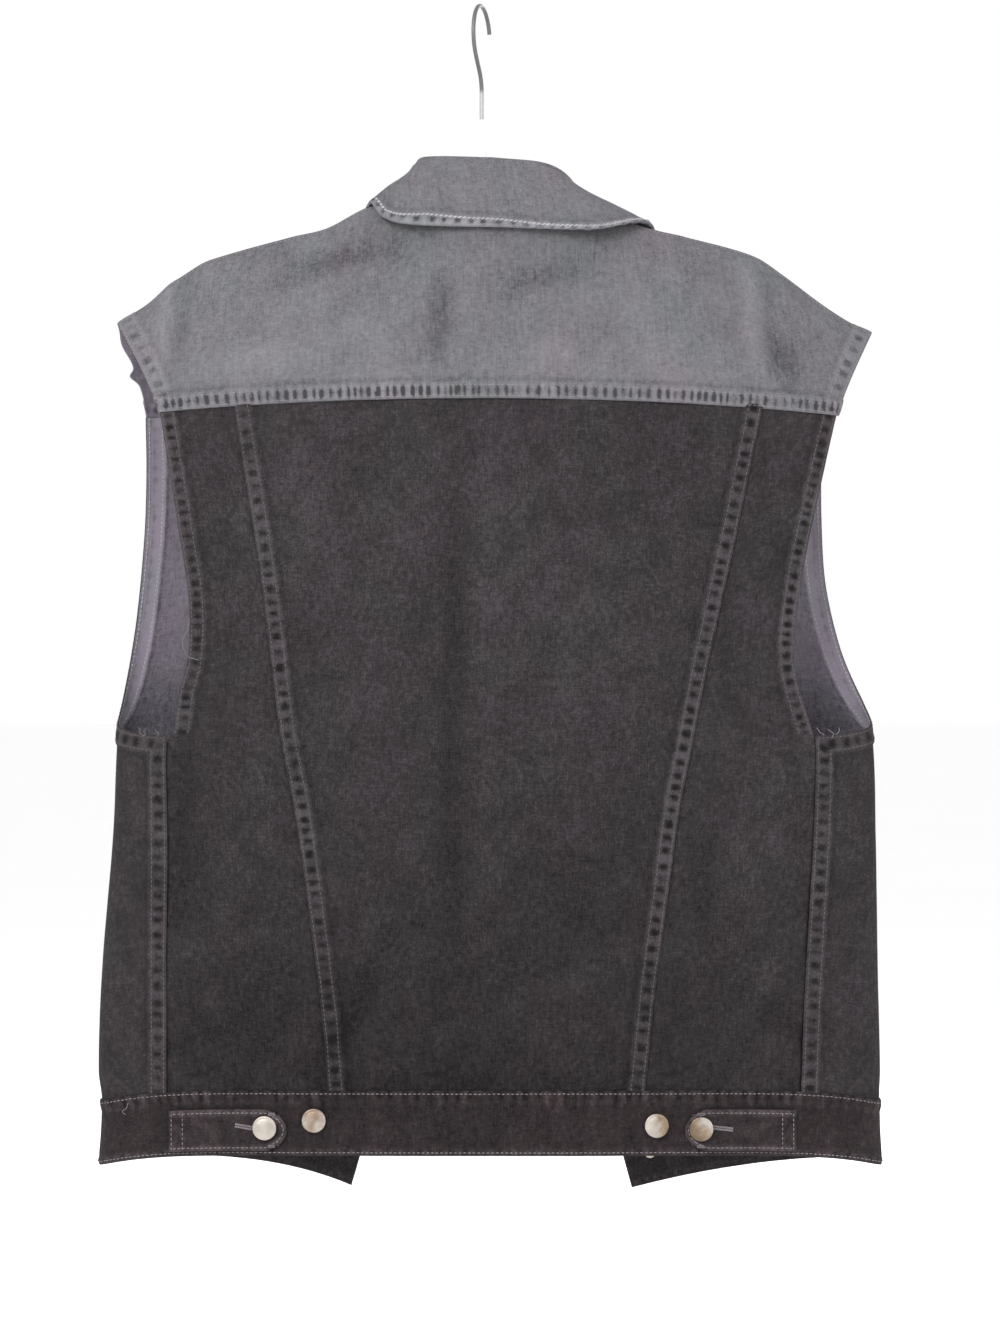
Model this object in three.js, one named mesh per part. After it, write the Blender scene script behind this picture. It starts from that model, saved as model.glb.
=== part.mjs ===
import * as THREE from 'three';

// A sleeveless denim jacket hanging from a plastic hanger. Millimetres, +Z up.
// The back of the garment faces +Y and the wearer's left is +X.
// The origin is the underside of the hook's crown, where a rail carries the hanger.
// Heights in the tables are measured upwards from the middle of the back hem.

// Places and heights
const HEM_LEVEL = -814;
const BAND_TOP = 45;
const SEAM_MIDDLE = 532.6;
const SEAM_FALL = 10.5;
const SEAM_REACH = 240;
const PLACKET_SEAM_X = 60;
const UNDERARM = 294;
const SEAM_TURN = 290;
const SEAM_GAP = 0.3;

// Cloth
const PANEL_WALL = 1.6;
const YOKE_WALL = 1.9;
const PLACKET_WALL = 2.6;
const BAND_WALL = 2.8;
const COLLAR_WALL = 2.2;
const TAB_WALL = 2.4;
const LAP_WIDE = 12;
const LAP_RISE = 0.9;
const LAP_STEP = 1.2;
const SQUARENESS = 3;

// Front opening and plackets
const OPENING_CENTRE = -7;
const OPENING_NECK = 24;
const OPENING_SPREAD = 78.5;
const PLACKET_WIDE = 38;
const NECK_FRONT = 594;
const NECK_FRONT_DIP = 8;
const PLACKET_RUN = 2.5;

// Neck and shoulders
const NECK_CENTRE = -10;
const NECK_HALF = 72;
const NECK_BACK_DEPTH = 24;
const NECK_BACK = 670;
const YOKE_ROUND = 1.6;
const YOKE_FLARE = 1.2;
const YOKE_TALL = 140;

// How far the hem sinks at the side folds and at the front corners
const HEM_SINK = 12;
const SINK_TOP = 320;
const SINK_BACK_POWER = 8;
const FRONT_HALF = 280;
const FRONT_SINK = { left: { extra: 24, power: 3.2 }, right: { extra: 26, power: 1.8 } };

// Sections through the body: where the side folds lie, and how deep the back and front stand
const BODY = [
  { height: -40, left: 275, right: -287, back: 43, front: 46 },
  { height: 0, left: 273.5, right: -286, back: 43, front: 46 },
  { height: 45, left: 271.2, right: -284, back: 43, front: 45 },
  { height: 66, left: 273.6, right: -284.6, back: 43, front: 45 },
  { height: 133, left: 271.1, right: -283, back: 43, front: 44 },
  { height: 226, left: 263.2, right: -281.5, back: 43, front: 44 },
  { height: 290, left: 260.3, right: -279.4, back: 42, front: 43 },
  { height: 330, left: 255.8, right: -271.5, back: 41.5, front: 42.5 },
  { height: 360, left: 253, right: -265.5, back: 41, front: 42 },
  { height: 400, left: 250.5, right: -261.5, back: 40, front: 41 },
  { height: 445, left: 248.5, right: -261.5, back: 39, front: 40 },
  { height: 490, left: 247.5, right: -261.5, back: 37.5, front: 39 },
  { height: 530, left: 248, right: -264, back: 36, front: 38 },
];

// Seams on the back: the slanted panel seams, and the side seams that run up into the armholes
const BACK_SEAMS = [
  { height: 45, slantLeft: 106.8, slantRight: -114.2, outerLeft: 222.3, outerRight: -225.3 },
  { height: 114, slantLeft: 112.9, slantRight: -121.2, outerLeft: 222.3, outerRight: -228.1 },
  { height: 190, slantLeft: 122.8, slantRight: -131.2, outerLeft: 222.3, outerRight: -232.5 },
  { height: 240, slantLeft: 130, slantRight: -138, outerLeft: 222.3, outerRight: -235.3 },
  { height: 290, slantLeft: 139.5, slantRight: -147.8, outerLeft: 222.3, outerRight: -236 },
  { height: 300, slantLeft: 141, slantRight: -149.7, outerLeft: 217, outerRight: -233.5 },
  { height: 326, slantLeft: 144.4, slantRight: -154.8, outerLeft: 213.5, outerRight: -225.3 },
  { height: 350, slantLeft: 147.3, slantRight: -159.6, outerLeft: 207.2, outerRight: -220.8 },
  { height: 390, slantLeft: 152.2, slantRight: -168.4, outerLeft: 206.6, outerRight: -223.6 },
  { height: 440, slantLeft: 159.3, slantRight: -179.3, outerLeft: 214, outerRight: -232.3 },
  { height: 530, slantLeft: 173.9, slantRight: -197.6, outerLeft: 228.5, outerRight: -253 },
];

// Edge of the front panel from the side seam round the foot of the armhole and up its front:
// reach is measured round the cloth from the side fold, towards the back when positive,
// and level is the height at the placket that each point of the edge is joined to
const ARMHOLE = [
  { step: 0, reach: 41, height: 294, level: 160 },
  { step: 0.1, reach: 22, height: 296.5, level: 196 },
  { step: 0.2, reach: 5, height: 303, level: 240 },
  { step: 0.3, reach: -6, height: 317, level: 286 },
  { step: 0.5, reach: -14, height: 360, level: 350 },
  { step: 0.75, reach: -19, height: 440, level: 440 },
  { step: 1, reach: -18, height: 523, level: 532 },
];
// How much further than that the edge turns to the front on each side
const ARMHOLE_TURN = { left: 1, right: 1.6 };

// Ridge of the shoulders, out from the middle
const RIDGE = {
  left: [
    { out: 62, height: 676 },
    { out: 83, height: 671 },
    { out: 111, height: 656.6 },
    { out: 137, height: 650.2 },
    { out: 190, height: 635.4 },
    { out: 201, height: 631 },
    { out: 223, height: 616.5 },
    { out: 240, height: 602 },
    { out: 261, height: 588.8 },
  ],
  right: [
    { out: 82, height: 671 },
    { out: 100, height: 664 },
    { out: 124, height: 655.5 },
    { out: 145, height: 650.6 },
    { out: 195, height: 636.3 },
    { out: 216, height: 622.7 },
    { out: 243, height: 602.6 },
    { out: 264, height: 589 },
    { out: 279.5, height: 582 },
  ],
};

// Largest folds, as soft ridges and troughs pushed out of the cloth
const BACK_FOLDS = [
  { x: 12, height: 310, lean: 0.03, long: 190, wide: 13, rise: -3.2 },
  { x: -8, height: 330, lean: 0.03, long: 180, wide: 12, rise: 1.6 },
  { x: 209, height: 240, lean: 0.17, long: 80, wide: 12, rise: -4.5 },
  { x: 172, height: 148, lean: 1.3, long: 70, wide: 18, rise: 3 },
  { x: -6, height: 62, lean: 1.57, long: 90, wide: 9, rise: -2.5 },
  { x: -186, height: 200, lean: -0.12, long: 110, wide: 18, rise: 2.2 },
];
const FRONT_FOLDS = [
  { x: 170, height: 250, lean: 0.1, long: 150, wide: 22, rise: 4 },
  { x: 128, height: 330, lean: 0.06, long: 130, wide: 16, rise: -3 },
  { x: -165, height: 220, lean: -0.12, long: 150, wide: 24, rise: 4 },
  { x: -205, height: 320, lean: -0.2, long: 90, wide: 16, rise: -3 },
];

// Collar: the fold line at its top and the free edge of the fall, from the centre back to the front
const COLLAR = {
  left: [
    { along: 0, rollX: -8, rollY: 18, rollUp: 704.5, edgeX: -10, edgeY: 31, edgeUp: 653 },
    { along: 0.25, rollX: 39, rollY: 12, rollUp: 706, edgeX: 52, edgeY: 28, edgeUp: 655.5 },
    { along: 0.4, rollX: 47, rollY: 1.5, rollUp: 703, edgeX: 71, edgeY: 14, edgeUp: 663 },
    { along: 0.5, rollX: 50, rollY: -6, rollUp: 699.5, edgeX: 81, edgeY: 3, edgeUp: 675.1 },
    { along: 0.65, rollX: 52, rollY: -18, rollUp: 676, edgeX: 89, edgeY: -23, edgeUp: 655 },
    { along: 0.8, rollX: 48, rollY: -31, rollUp: 650, edgeX: 97, edgeY: -38, edgeUp: 622 },
    { along: 1.1, rollX: 40, rollY: -39, rollUp: 604, edgeX: 78, edgeY: -46, edgeUp: 556 },
  ],
  right: [
    { along: 0, rollX: -8, rollY: 18, rollUp: 704.5, edgeX: -10, edgeY: 31, edgeUp: 653 },
    { along: 0.25, rollX: -48, rollY: 13, rollUp: 700.5, edgeX: -78, edgeY: 28, edgeUp: 652 },
    { along: 0.5, rollX: -68, rollY: -4, rollUp: 686.5, edgeX: -120, edgeY: 3, edgeUp: 661 },
    { along: 0.65, rollX: -70, rollY: -18, rollUp: 668, edgeX: -126, edgeY: -22, edgeUp: 643 },
    { along: 0.8, rollX: -66, rollY: -31, rollUp: 646, edgeX: -120, edgeY: -38, edgeUp: 612 },
    { along: 1.1, rollX: -56, rollY: -39, rollUp: 604, edgeX: -96, edgeY: -46, edgeUp: 552 },
  ],
};
const ROLL_HALF = 3.2;
const ROLL_DROP = 4;
const FALL_BULGE = 2;

// Waist tabs and tack buttons
const TABS = {
  left: { sewn: 219.5, tip: 136, top: 33, bottom: 3.5, shoulder: 9, nose: 6 },
  right: { sewn: -221, tip: -142.5, top: 33, bottom: 3.5, shoulder: 9, nose: 6 },
};
const TAB_BUTTONS = { left: { x: 151.6, height: 20.2 }, right: { x: -153.8, height: 19.5 } };
const BAND_BUTTONS = { left: { x: 117.3, height: 25.1 }, right: { x: -122.9, height: 21.6 } };
const FRONT_BUTTON_HEIGHTS = [95, 212, 329, 446, 563];
const BUTTON_PROFILE = [[0, 0], [3.2, 0], [3.2, 1], [8.5, 1.4], [8.3, 2.7], [6.6, 3.2], [0, 3.6]];
const TACK_PROFILE = [[0, 0], [3.85, 0], [3.6, 0.8], [0, 1.1]];

// Hanger
const ARM_ENDS = { left: 200, right: -192 };
const ARM_THICK = 9;
const ARM_CLEAR = 1.7;
const ARM_TALL = 22;
const HUB_RISE = 14;
const HUB_TALL = 32;
const HUB_HALF = 62;
const ARM_CORNERS = 10;
const END_ROUND = 12;
const NECK_TOP = -80;
const NECK_RADIUS = 4.2;
const NECK_FOOT_RADIUS = 6.5;
const NECK_TAPER = 16;
const WIRE_RADIUS = 1.5;
const WIRE_SOCKET = 14;
const HOOK_RADIUS = 22;
const HOOK_TURN = THREE.MathUtils.degToRad(75);
const HOOK_TIP_ANGLE = 163;
const HOOK_FOOT_ANGLE = -35;
const HOOK_SHAFT_TOP = -60;
const HOOK_BEND = 13;

const SIDES = { left: 1, right: -1 };
const vec = (x, y, z) => new THREE.Vector3(x, y, z);
const { lerp, clamp } = THREE.MathUtils;

const denim = (color) => new THREE.MeshStandardMaterial({ color, roughness: 0.95, metalness: 0 });
const darkDenim = denim(0x46424a);
const paleDenim = denim(0x807f85);
const agedMetal = new THREE.MeshStandardMaterial({ color: 0xa8978a, roughness: 0.4, metalness: 0.9 });
const chrome = new THREE.MeshStandardMaterial({ color: 0xc2c2c6, roughness: 0.2, metalness: 1 });
const plastic = new THREE.MeshStandardMaterial({ color: 0xf2f2f0, roughness: 0.35, metalness: 0 });

const group = new THREE.Group();

function add(name, geometry, material) {
  const mesh = new THREE.Mesh(geometry, material);
  mesh.name = name;
  group.add(mesh);
  return mesh;
}

// Smooth value of one column of a table at a place in its key column
function inTable(table, key, column, place) {
  const last = table.length - 1;
  if (place <= table[0][key]) return table[0][column];
  if (place >= table[last][key]) return table[last][column];
  let row = 0;
  while (table[row + 1][key] < place) row += 1;
  const [low, high] = [table[row], table[row + 1]];
  const before = table[Math.max(row - 1, 0)];
  const after = table[Math.min(row + 2, last)];
  const span = high[key] - low[key];
  const part = (place - low[key]) / span;
  const lowSlope = ((high[column] - before[column]) / (high[key] - before[key])) * span;
  const highSlope = ((after[column] - low[column]) / (after[key] - low[key])) * span;
  const square = part * part;
  const cube = square * part;
  return (2 * cube - 3 * square + 1) * low[column] + (cube - 2 * square + part) * lowSlope
    + (3 * square - 2 * cube) * high[column] + (cube - square) * highSlope;
}

const steps = (count) => Array.from({ length: count + 1 }, (_, step) => step / count);

// Steps across the back's middle panel, with a narrow raised lap along both of its edges
const MIDDLE_WIDE = 290;
function lapSteps(count) {
  const lap = LAP_WIDE / MIDDLE_WIDE;
  const foot = lap + LAP_STEP / MIDDLE_WIDE;
  const middle = steps(count).slice(1, -1).map((part) => lerp(foot, 1 - foot, part));
  return [0, lap, foot, ...middle, 1 - foot, 1 - lap, 1];
}

function section(height) {
  const left = inTable(BODY, 'height', 'left', height);
  const right = inTable(BODY, 'height', 'right', height);
  return {
    centre: (left + right) / 2,
    half: (left - right) / 2,
    back: inTable(BODY, 'height', 'back', height),
    front: inTable(BODY, 'height', 'front', height),
  };
}

// A point of a section, as the angle from the side fold towards the middle of the back or front
function onQuarter(half, depth, angle) {
  return [half * Math.cos(angle) ** (2 / SQUARENESS), depth * Math.sin(angle) ** (2 / SQUARENESS)];
}

const quarterAngle = (half, across) => Math.acos(Math.min(across / half, 1) ** (SQUARENESS / 2));

// Length of cloth from the side fold, at a row of angles
function quarterLengths(half, depth) {
  const rows = [{ angle: 0, length: 0 }];
  let [lastAcross, lastOut] = onQuarter(half, depth, 0);
  for (const part of steps(60).slice(1)) {
    const angle = Math.min((Math.PI / 2) * part ** 1.5, Math.PI / 2);
    const [across, out] = onQuarter(half, depth, angle);
    const length = rows[rows.length - 1].length + Math.hypot(across - lastAcross, out - lastOut);
    rows.push({ angle, length });
    [lastAcross, lastOut] = [across, out];
  }
  return rows;
}

function reachOf(x, height, isBack) {
  const { centre, half, back, front } = section(height);
  const angle = quarterAngle(half, Math.abs(x - centre));
  const length = inTable(quarterLengths(half, isBack ? back : front), 'angle', 'length', angle);
  return isBack ? length : -length;
}

function relief(folds, x, height) {
  let rise = 0;
  for (const fold of folds) {
    const across = x - fold.x;
    const up = height - fold.height;
    const beside = across * Math.cos(fold.lean) + up * Math.sin(fold.lean);
    const lengthwise = up * Math.cos(fold.lean) - across * Math.sin(fold.lean);
    rise += fold.rise * Math.exp(-((beside / fold.wide) ** 2) - (lengthwise / fold.long) ** 4);
  }
  return rise;
}

function hemSink(side, share, isBack, height) {
  const fade = height < BAND_TOP ? 1 : Math.max(1 - (height - BAND_TOP) / (SINK_TOP - BAND_TOP), 0) ** 2;
  if (isBack) return -HEM_SINK * share ** SINK_BACK_POWER * fade;
  const { extra, power } = FRONT_SINK[side];
  const end = (OPENING_NECK + OPENING_SPREAD) / FRONT_HALF;
  return -(HEM_SINK + extra * clamp((1 - share) / (1 - end), 0, 1.2) ** power) * fade;
}

// The cloth of the body, by the angle round a section
function bodyAt(side, angle, height, isBack) {
  const { centre, half, back, front } = section(height);
  const [across, out] = onQuarter(half, isBack ? back : front, angle);
  const x = centre + SIDES[side] * across;
  const facing = isBack ? 1 : -1;
  const start = Math.min(angle, Math.PI / 2 - 0.01);
  const [startAcross, startOut] = onQuarter(half, isBack ? back : front, start);
  const [nearAcross, nearOut] = onQuarter(half, isBack ? back : front, start + 0.01);
  const flatness = (startAcross - nearAcross) / Math.hypot(startAcross - nearAcross, nearOut - startOut);
  const rise = relief(isBack ? BACK_FOLDS : FRONT_FOLDS, x, height) * clamp(flatness, 0, 1);
  const sink = hemSink(side, across / half, isBack, height);
  return vec(x, facing * (out + rise), HEM_LEVEL + height + sink);
}

const sideOf = (x, height) => (x > section(height).centre ? 'left' : 'right');

function bodyFace(x, height, isBack) {
  const { centre, half } = section(height);
  return bodyAt(sideOf(x, height), quarterAngle(half, Math.abs(x - centre)), height, isBack);
}

function bodyRound(side, reach, height) {
  const { half, back, front } = section(height);
  const lengths = quarterLengths(half, reach > 0 ? back : front);
  return bodyAt(side, inTable(lengths, 'length', 'angle', Math.abs(reach)), height, reach > 0);
}

const seamHeight = (x) => SEAM_MIDDLE - SEAM_FALL * (x / SEAM_REACH) ** 2;
const openingEdge = (side, height) => OPENING_CENTRE
  + SIDES[side] * (OPENING_NECK + OPENING_SPREAD * (1 - height / NECK_FRONT) ** 2);
const placketEdge = (side, height) => openingEdge(side, height) + SIDES[side] * PLACKET_WIDE;
const ridgeHeight = (side, x) => inTable(RIDGE[side], 'out', 'height', Math.abs(x));
const neckX = (side) => NECK_CENTRE + SIDES[side] * NECK_HALF;
const tipX = (side) => SIDES[side] * RIDGE[side][RIDGE[side].length - 1].out;

// One closed wall from a grid of outer points and a grid of inner points
function closedWall(outer, inner) {
  const columns = outer.length;
  const rows = outer[0].length;
  const positions = [...outer, ...inner].flat().flatMap((point) => point.toArray());
  const at = (layer, column, row) => (layer * columns + column) * rows + row;
  const index = [];
  const quad = (a, b, c, d) => index.push(a, b, c, a, c, d);
  for (let column = 0; column < columns - 1; column += 1) {
    for (let row = 0; row < rows - 1; row += 1) {
      quad(at(0, column, row), at(0, column + 1, row), at(0, column + 1, row + 1), at(0, column, row + 1));
      quad(at(1, column, row), at(1, column, row + 1), at(1, column + 1, row + 1), at(1, column + 1, row));
    }
    const [next, top] = [column + 1, rows - 1];
    quad(at(1, column, 0), at(1, next, 0), at(0, next, 0), at(0, column, 0));
    quad(at(0, column, top), at(0, next, top), at(1, next, top), at(1, column, top));
  }
  for (let row = 0; row < rows - 1; row += 1) {
    const [next, end] = [row + 1, columns - 1];
    quad(at(0, 0, row), at(0, 0, next), at(1, 0, next), at(1, 0, row));
    quad(at(1, end, row), at(1, end, next), at(0, end, next), at(0, end, row));
  }
  return outwards(positions, index);
}

function outwards(positions, index) {
  const corner = (place) => vec(...positions.slice(3 * index[place], 3 * index[place] + 3));
  let volume = 0;
  for (let place = 0; place < index.length; place += 3) {
    volume += corner(place).dot(corner(place + 1).cross(corner(place + 2)));
  }
  const geometry = new THREE.BufferGeometry();
  geometry.setAttribute('position', new THREE.Float32BufferAttribute(positions, 3));
  geometry.setIndex(volume > 0 ? index : index.reverse());
  return geometry;
}

function faceNormal(pointAt, u, v) {
  const small = 1e-3;
  const acrossCloth = pointAt(Math.min(u + small, 1), v).sub(pointAt(Math.max(u - small, 0), v));
  const upCloth = pointAt(u, Math.min(v + small, 1)).sub(pointAt(u, Math.max(v - small, 0)));
  return upCloth.cross(acrossCloth).normalize();
}

// A wall of cloth on a surface: facing is 1 or -1, for the side of the surface that is outside
function clothWall(pointAt, columns, rows, thick, facing, riseAt = () => 0, keep = (point) => point) {
  const outer = [];
  const inner = [];
  for (const u of columns) {
    const outerColumn = [];
    const innerColumn = [];
    for (const v of rows) {
      const point = pointAt(u, v);
      const normal = faceNormal(pointAt, u, v).multiplyScalar(facing);
      outerColumn.push(keep(point.clone().addScaledVector(normal, riseAt(u, v))));
      innerColumn.push(keep(point.clone().addScaledVector(normal, -thick)));
    }
    outer.push(outerColumn);
    inner.push(innerColumn);
  }
  return closedWall(outer, inner);
}

// Back panels: u runs from the wearer's right to the left, v from the waistband to the yoke
function backPanelPoint(rightEdge, leftEdge) {
  return (u, v) => {
    const level = lerp(BAND_TOP + SEAM_GAP / 2, SEAM_MIDDLE - 6, v);
    const x = lerp(rightEdge(level), leftEdge(level), u);
    return bodyFace(x, lerp(BAND_TOP + SEAM_GAP / 2, seamHeight(x) - SEAM_GAP / 2, v), true);
  };
}

function addBackPanels() {
  const seam = (column, gap) => (level) => inTable(BACK_SEAMS, 'height', column, level) + gap;
  const near = SEAM_GAP / 2;
  const rows = steps(15);
  const middle = backPanelPoint(seam('slantRight', near), seam('slantLeft', -near));
  const lapEnd = (LAP_WIDE + LAP_STEP / 2) / MIDDLE_WIDE;
  const lapOn = (u) => (Math.min(u, 1 - u) < lapEnd ? LAP_RISE : 0);
  add('back_centre_panel', clothWall(middle, lapSteps(12), rows, PANEL_WALL, 1, lapOn), darkDenim);
  const rightSide = backPanelPoint(seam('outerRight', near), seam('slantRight', -near));
  add('back_side_panel_right', clothWall(rightSide, steps(4), rows, PANEL_WALL, 1), darkDenim);
  const leftSide = backPanelPoint(seam('slantLeft', near), seam('outerLeft', -near));
  add('back_side_panel_left', clothWall(leftSide, steps(4), rows, PANEL_WALL, 1), darkDenim);
}

// Outer edge of a front panel: up the side seam, then round the armhole
// The side seam takes up the first share of v; the foot of the armhole, with no lap, comes after it
const SIDE_SEAM_SHARE = 0.48;
const ARMHOLE_FOOT = 0.54;
const FOOT_HALF = 0.09;
const FRONT_WIDE = 270;
const FRONT_COLUMNS = [0.07, 0.095, 0.12, 0.145, 0.17, 0.2, 0.235, 0.28, 0.35, 0.45, 0.58, 0.72, 0.86, 1];
function frontPanelOuter(side, v) {
  if (v <= SIDE_SEAM_SHARE) {
    const height = lerp(BAND_TOP + SEAM_GAP / 2, UNDERARM, v / SIDE_SEAM_SHARE);
    const column = side === 'left' ? 'outerLeft' : 'outerRight';
    const x = inTable(BACK_SEAMS, 'height', column, Math.min(height, SEAM_TURN)) + SIDES[side] * (SEAM_GAP / 2);
    const level = lerp(BAND_TOP + SEAM_GAP / 2, ARMHOLE[0].level, v / SIDE_SEAM_SHARE);
    return { reach: reachOf(x, height, true), height, level };
  }
  const step = (v - SIDE_SEAM_SHARE) / (1 - SIDE_SEAM_SHARE);
  const seamTop = frontPanelOuter(side, SIDE_SEAM_SHARE).reach / ARMHOLE[0].reach;
  const reach = inTable(ARMHOLE, 'step', 'reach', step);
  return {
    reach: reach * (reach > 0 ? seamTop : ARMHOLE_TURN[side]),
    height: inTable(ARMHOLE, 'step', 'height', step) - SEAM_GAP / 2,
    level: inTable(ARMHOLE, 'step', 'level', step) - SEAM_GAP / 2,
  };
}

function frontPanelPoint(side) {
  return (u, v) => {
    const outer = frontPanelOuter(side, v);
    const innerX = placketEdge(side, outer.level) + SIDES[side] * SEAM_GAP;
    const inner = reachOf(innerX, outer.level, false);
    return bodyRound(side, lerp(outer.reach, inner, u), lerp(outer.height, outer.level, u));
  };
}

function addFrontPanels() {
  for (const side of Object.keys(SIDES)) {
    const lap = LAP_WIDE / FRONT_WIDE;
    const foot = lap + LAP_STEP / FRONT_WIDE;
    const columns = [0, lap, foot, ...FRONT_COLUMNS];
    const besideFoot = (v) => Math.abs(v - ARMHOLE_FOOT) > FOOT_HALF;
    const rise = (u, v) => (u < foot && besideFoot(v) ? LAP_RISE : 0);
    const geometry = clothWall(frontPanelPoint(side), columns, steps(18), PANEL_WALL, SIDES[side], rise);
    add(`front_panel_${side}`, geometry, darkDenim);
  }
}

// Shoulder cloth bends from its seam up to the ridge that lies on the hanger
function yokeBend(foot, top, part) {
  const openness = Math.min(Math.abs(top.y) / NECK_BACK_DEPTH, 1);
  const power = lerp(1 / YOKE_ROUND, 1, openness);
  const bulge = Math.max(1 - part ** YOKE_ROUND, 0) ** power;
  const lean = part ** YOKE_FLARE;
  return vec(lerp(foot.x, top.x, lean), lerp(top.y, foot.y, bulge), lerp(foot.z, top.z, part));
}

// Upper edge of the back: along one shoulder, round the back of the neck, along the other shoulder
const SHOULDER_SHARE = 0.36;
function backYokeTop(u) {
  const side = u < 0.5 ? 'right' : 'left';
  const fromTip = Math.min(u, 1 - u);
  if (fromTip < SHOULDER_SHARE) {
    const x = lerp(tipX(side), neckX(side), fromTip / SHOULDER_SHARE);
    return vec(x, SEAM_GAP / 2, HEM_LEVEL + ridgeHeight(side, x));
  }
  return necklinePoint(side, 0.5 * (0.5 - fromTip) / (0.5 - SHOULDER_SHARE));
}

function necklinePoint(side, along) {
  if (along <= 0.5) {
    const turn = along * Math.PI;
    const shoulder = ridgeHeight(side, neckX(side));
    const x = NECK_CENTRE + SIDES[side] * NECK_HALF * Math.sin(turn);
    const height = lerp(NECK_BACK, shoulder, Math.sin(turn) ** 2);
    return vec(x, NECK_BACK_DEPTH * Math.cos(turn), HEM_LEVEL + height);
  }
  if (along <= 1) return frontYokePoint(side)(1, lerp(1, frontNeckPart(side), 2 * (along - 0.5)));
  return placketPoint(side)(1 - (along - 1) * PLACKET_RUN, 1);
}

function backYokePoint(u, v) {
  const top = backYokeTop(u);
  const side = top.x > 0 ? 'left' : 'right';
  const seamEnd = inTable(BACK_SEAMS, 'height', side === 'left' ? 'outerLeft' : 'outerRight', 530);
  const x = (top.x * seamEnd) / tipX(side);
  const foot = bodyFace(x, seamHeight(x) + SEAM_GAP / 2, true);
  return yokeBend(foot, top, v);
}

// Rows of a yoke crowd towards the ridge, where the cloth turns
const yokeRows = (count) => {
  const lap = LAP_WIDE / YOKE_TALL;
  const bent = steps(count).slice(1).map((part) => Math.sin((part * Math.PI) / 2));
  return [0, lap, lap + LAP_STEP / YOKE_TALL, ...bent];
};

const frontNeckPart = (side) => (NECK_FRONT - SEAM_MIDDLE) / (ridgeHeight(side, neckX(side)) - SEAM_MIDDLE);

// Front yokes: u runs from the armhole to the placket and neckline, v from the seam to the ridge
function frontYokePoint(side) {
  const armhole = ARMHOLE[ARMHOLE.length - 1];
  return (u, v) => {
    const turn = armhole.reach * ARMHOLE_TURN[side];
    const armholeFoot = bodyRound(side, turn, armhole.height + SEAM_GAP / 2);
    const placketX = placketEdge(side, SEAM_MIDDLE) + SIDES[side] * SEAM_GAP;
    const footX = lerp(armholeFoot.x, placketX, u);
    const foot = bodyFace(footX, lerp(armhole.height, seamHeight(PLACKET_SEAM_X), u) + SEAM_GAP / 2, false);
    const topX = lerp(tipX(side), neckX(side), u);
    const top = vec(topX, -SEAM_GAP / 2, HEM_LEVEL + ridgeHeight(side, topX));
    const point = yokeBend(foot, top, v);
    const neckPart = frontNeckPart(side);
    const necked = v < neckPart ? 0 : ((v - neckPart) / (1 - neckPart)) ** 2;
    const innerX = lerp(placketX, neckX(side), necked);
    const outerX = lerp(armholeFoot.x, tipX(side), v ** YOKE_FLARE);
    point.x = lerp(outerX, innerX, u);
    return point;
  };
}

function addYokes() {
  const shoulder = steps(8).map((part) => part * SHOULDER_SHARE);
  const neck = steps(5).slice(1).map((part) => lerp(SHOULDER_SHARE, 0.5, part));
  const half = [...shoulder, ...neck];
  const columns = [...half, ...half.slice(0, -1).reverse().map((u) => 1 - u)];
  const lapOn = (u, v) => (v * YOKE_TALL < LAP_WIDE + LAP_STEP / 2 ? LAP_RISE : 0);
  const behind = (point) => point.setY(Math.max(point.y, SEAM_GAP / 2));
  const before = (point) => point.setY(Math.min(point.y, -SEAM_GAP / 2));
  add('back_yoke', clothWall(backYokePoint, columns, yokeRows(5), YOKE_WALL, 1, lapOn, behind), paleDenim);
  for (const side of Object.keys(SIDES)) {
    const point = frontYokePoint(side);
    const geometry = clothWall(point, steps(9), yokeRows(5), YOKE_WALL, SIDES[side], lapOn, before);
    add(`front_yoke_${side}`, geometry, paleDenim);
  }
}

// Plackets: u runs from the free edge to the panel, v from the waistband to the neckline
function placketPoint(side) {
  return (u, v) => {
    const top = NECK_FRONT - NECK_FRONT_DIP * (1 - u);
    const height = lerp(BAND_TOP + SEAM_GAP / 2, top, v);
    const x = lerp(openingEdge(side, height), placketEdge(side, height), u);
    if (height <= seamHeight(PLACKET_SEAM_X)) return bodyFace(x, height, false);
    const foot = bodyFace(x, seamHeight(PLACKET_SEAM_X), false);
    const ridge = ridgeHeight(side, neckX(side));
    const part = (height - seamHeight(PLACKET_SEAM_X)) / (ridge - seamHeight(PLACKET_SEAM_X));
    return vec(x, foot.y * (1 - part ** YOKE_ROUND) ** (1 / YOKE_ROUND), HEM_LEVEL + height);
  };
}

function addPlackets() {
  for (const side of Object.keys(SIDES)) {
    const geometry = clothWall(placketPoint(side), steps(2), steps(22), PLACKET_WALL, -SIDES[side]);
    add(`placket_${side}`, geometry, darkDenim);
  }
}

// Waistband: u runs from the right front end round the back to the left front end
function bandPoint(u, v) {
  const side = u < 0.5 ? 'right' : 'left';
  const fromEnd = 1 - 2 * Math.abs(u - 0.5);
  const height = lerp(0, BAND_TOP - SEAM_GAP / 2, v);
  const end = reachOf(openingEdge(side, height), height, false);
  const middle = reachOf(section(height).centre, height, true);
  return bodyRound(side, lerp(end, middle, fromEnd), height);
}

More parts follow.
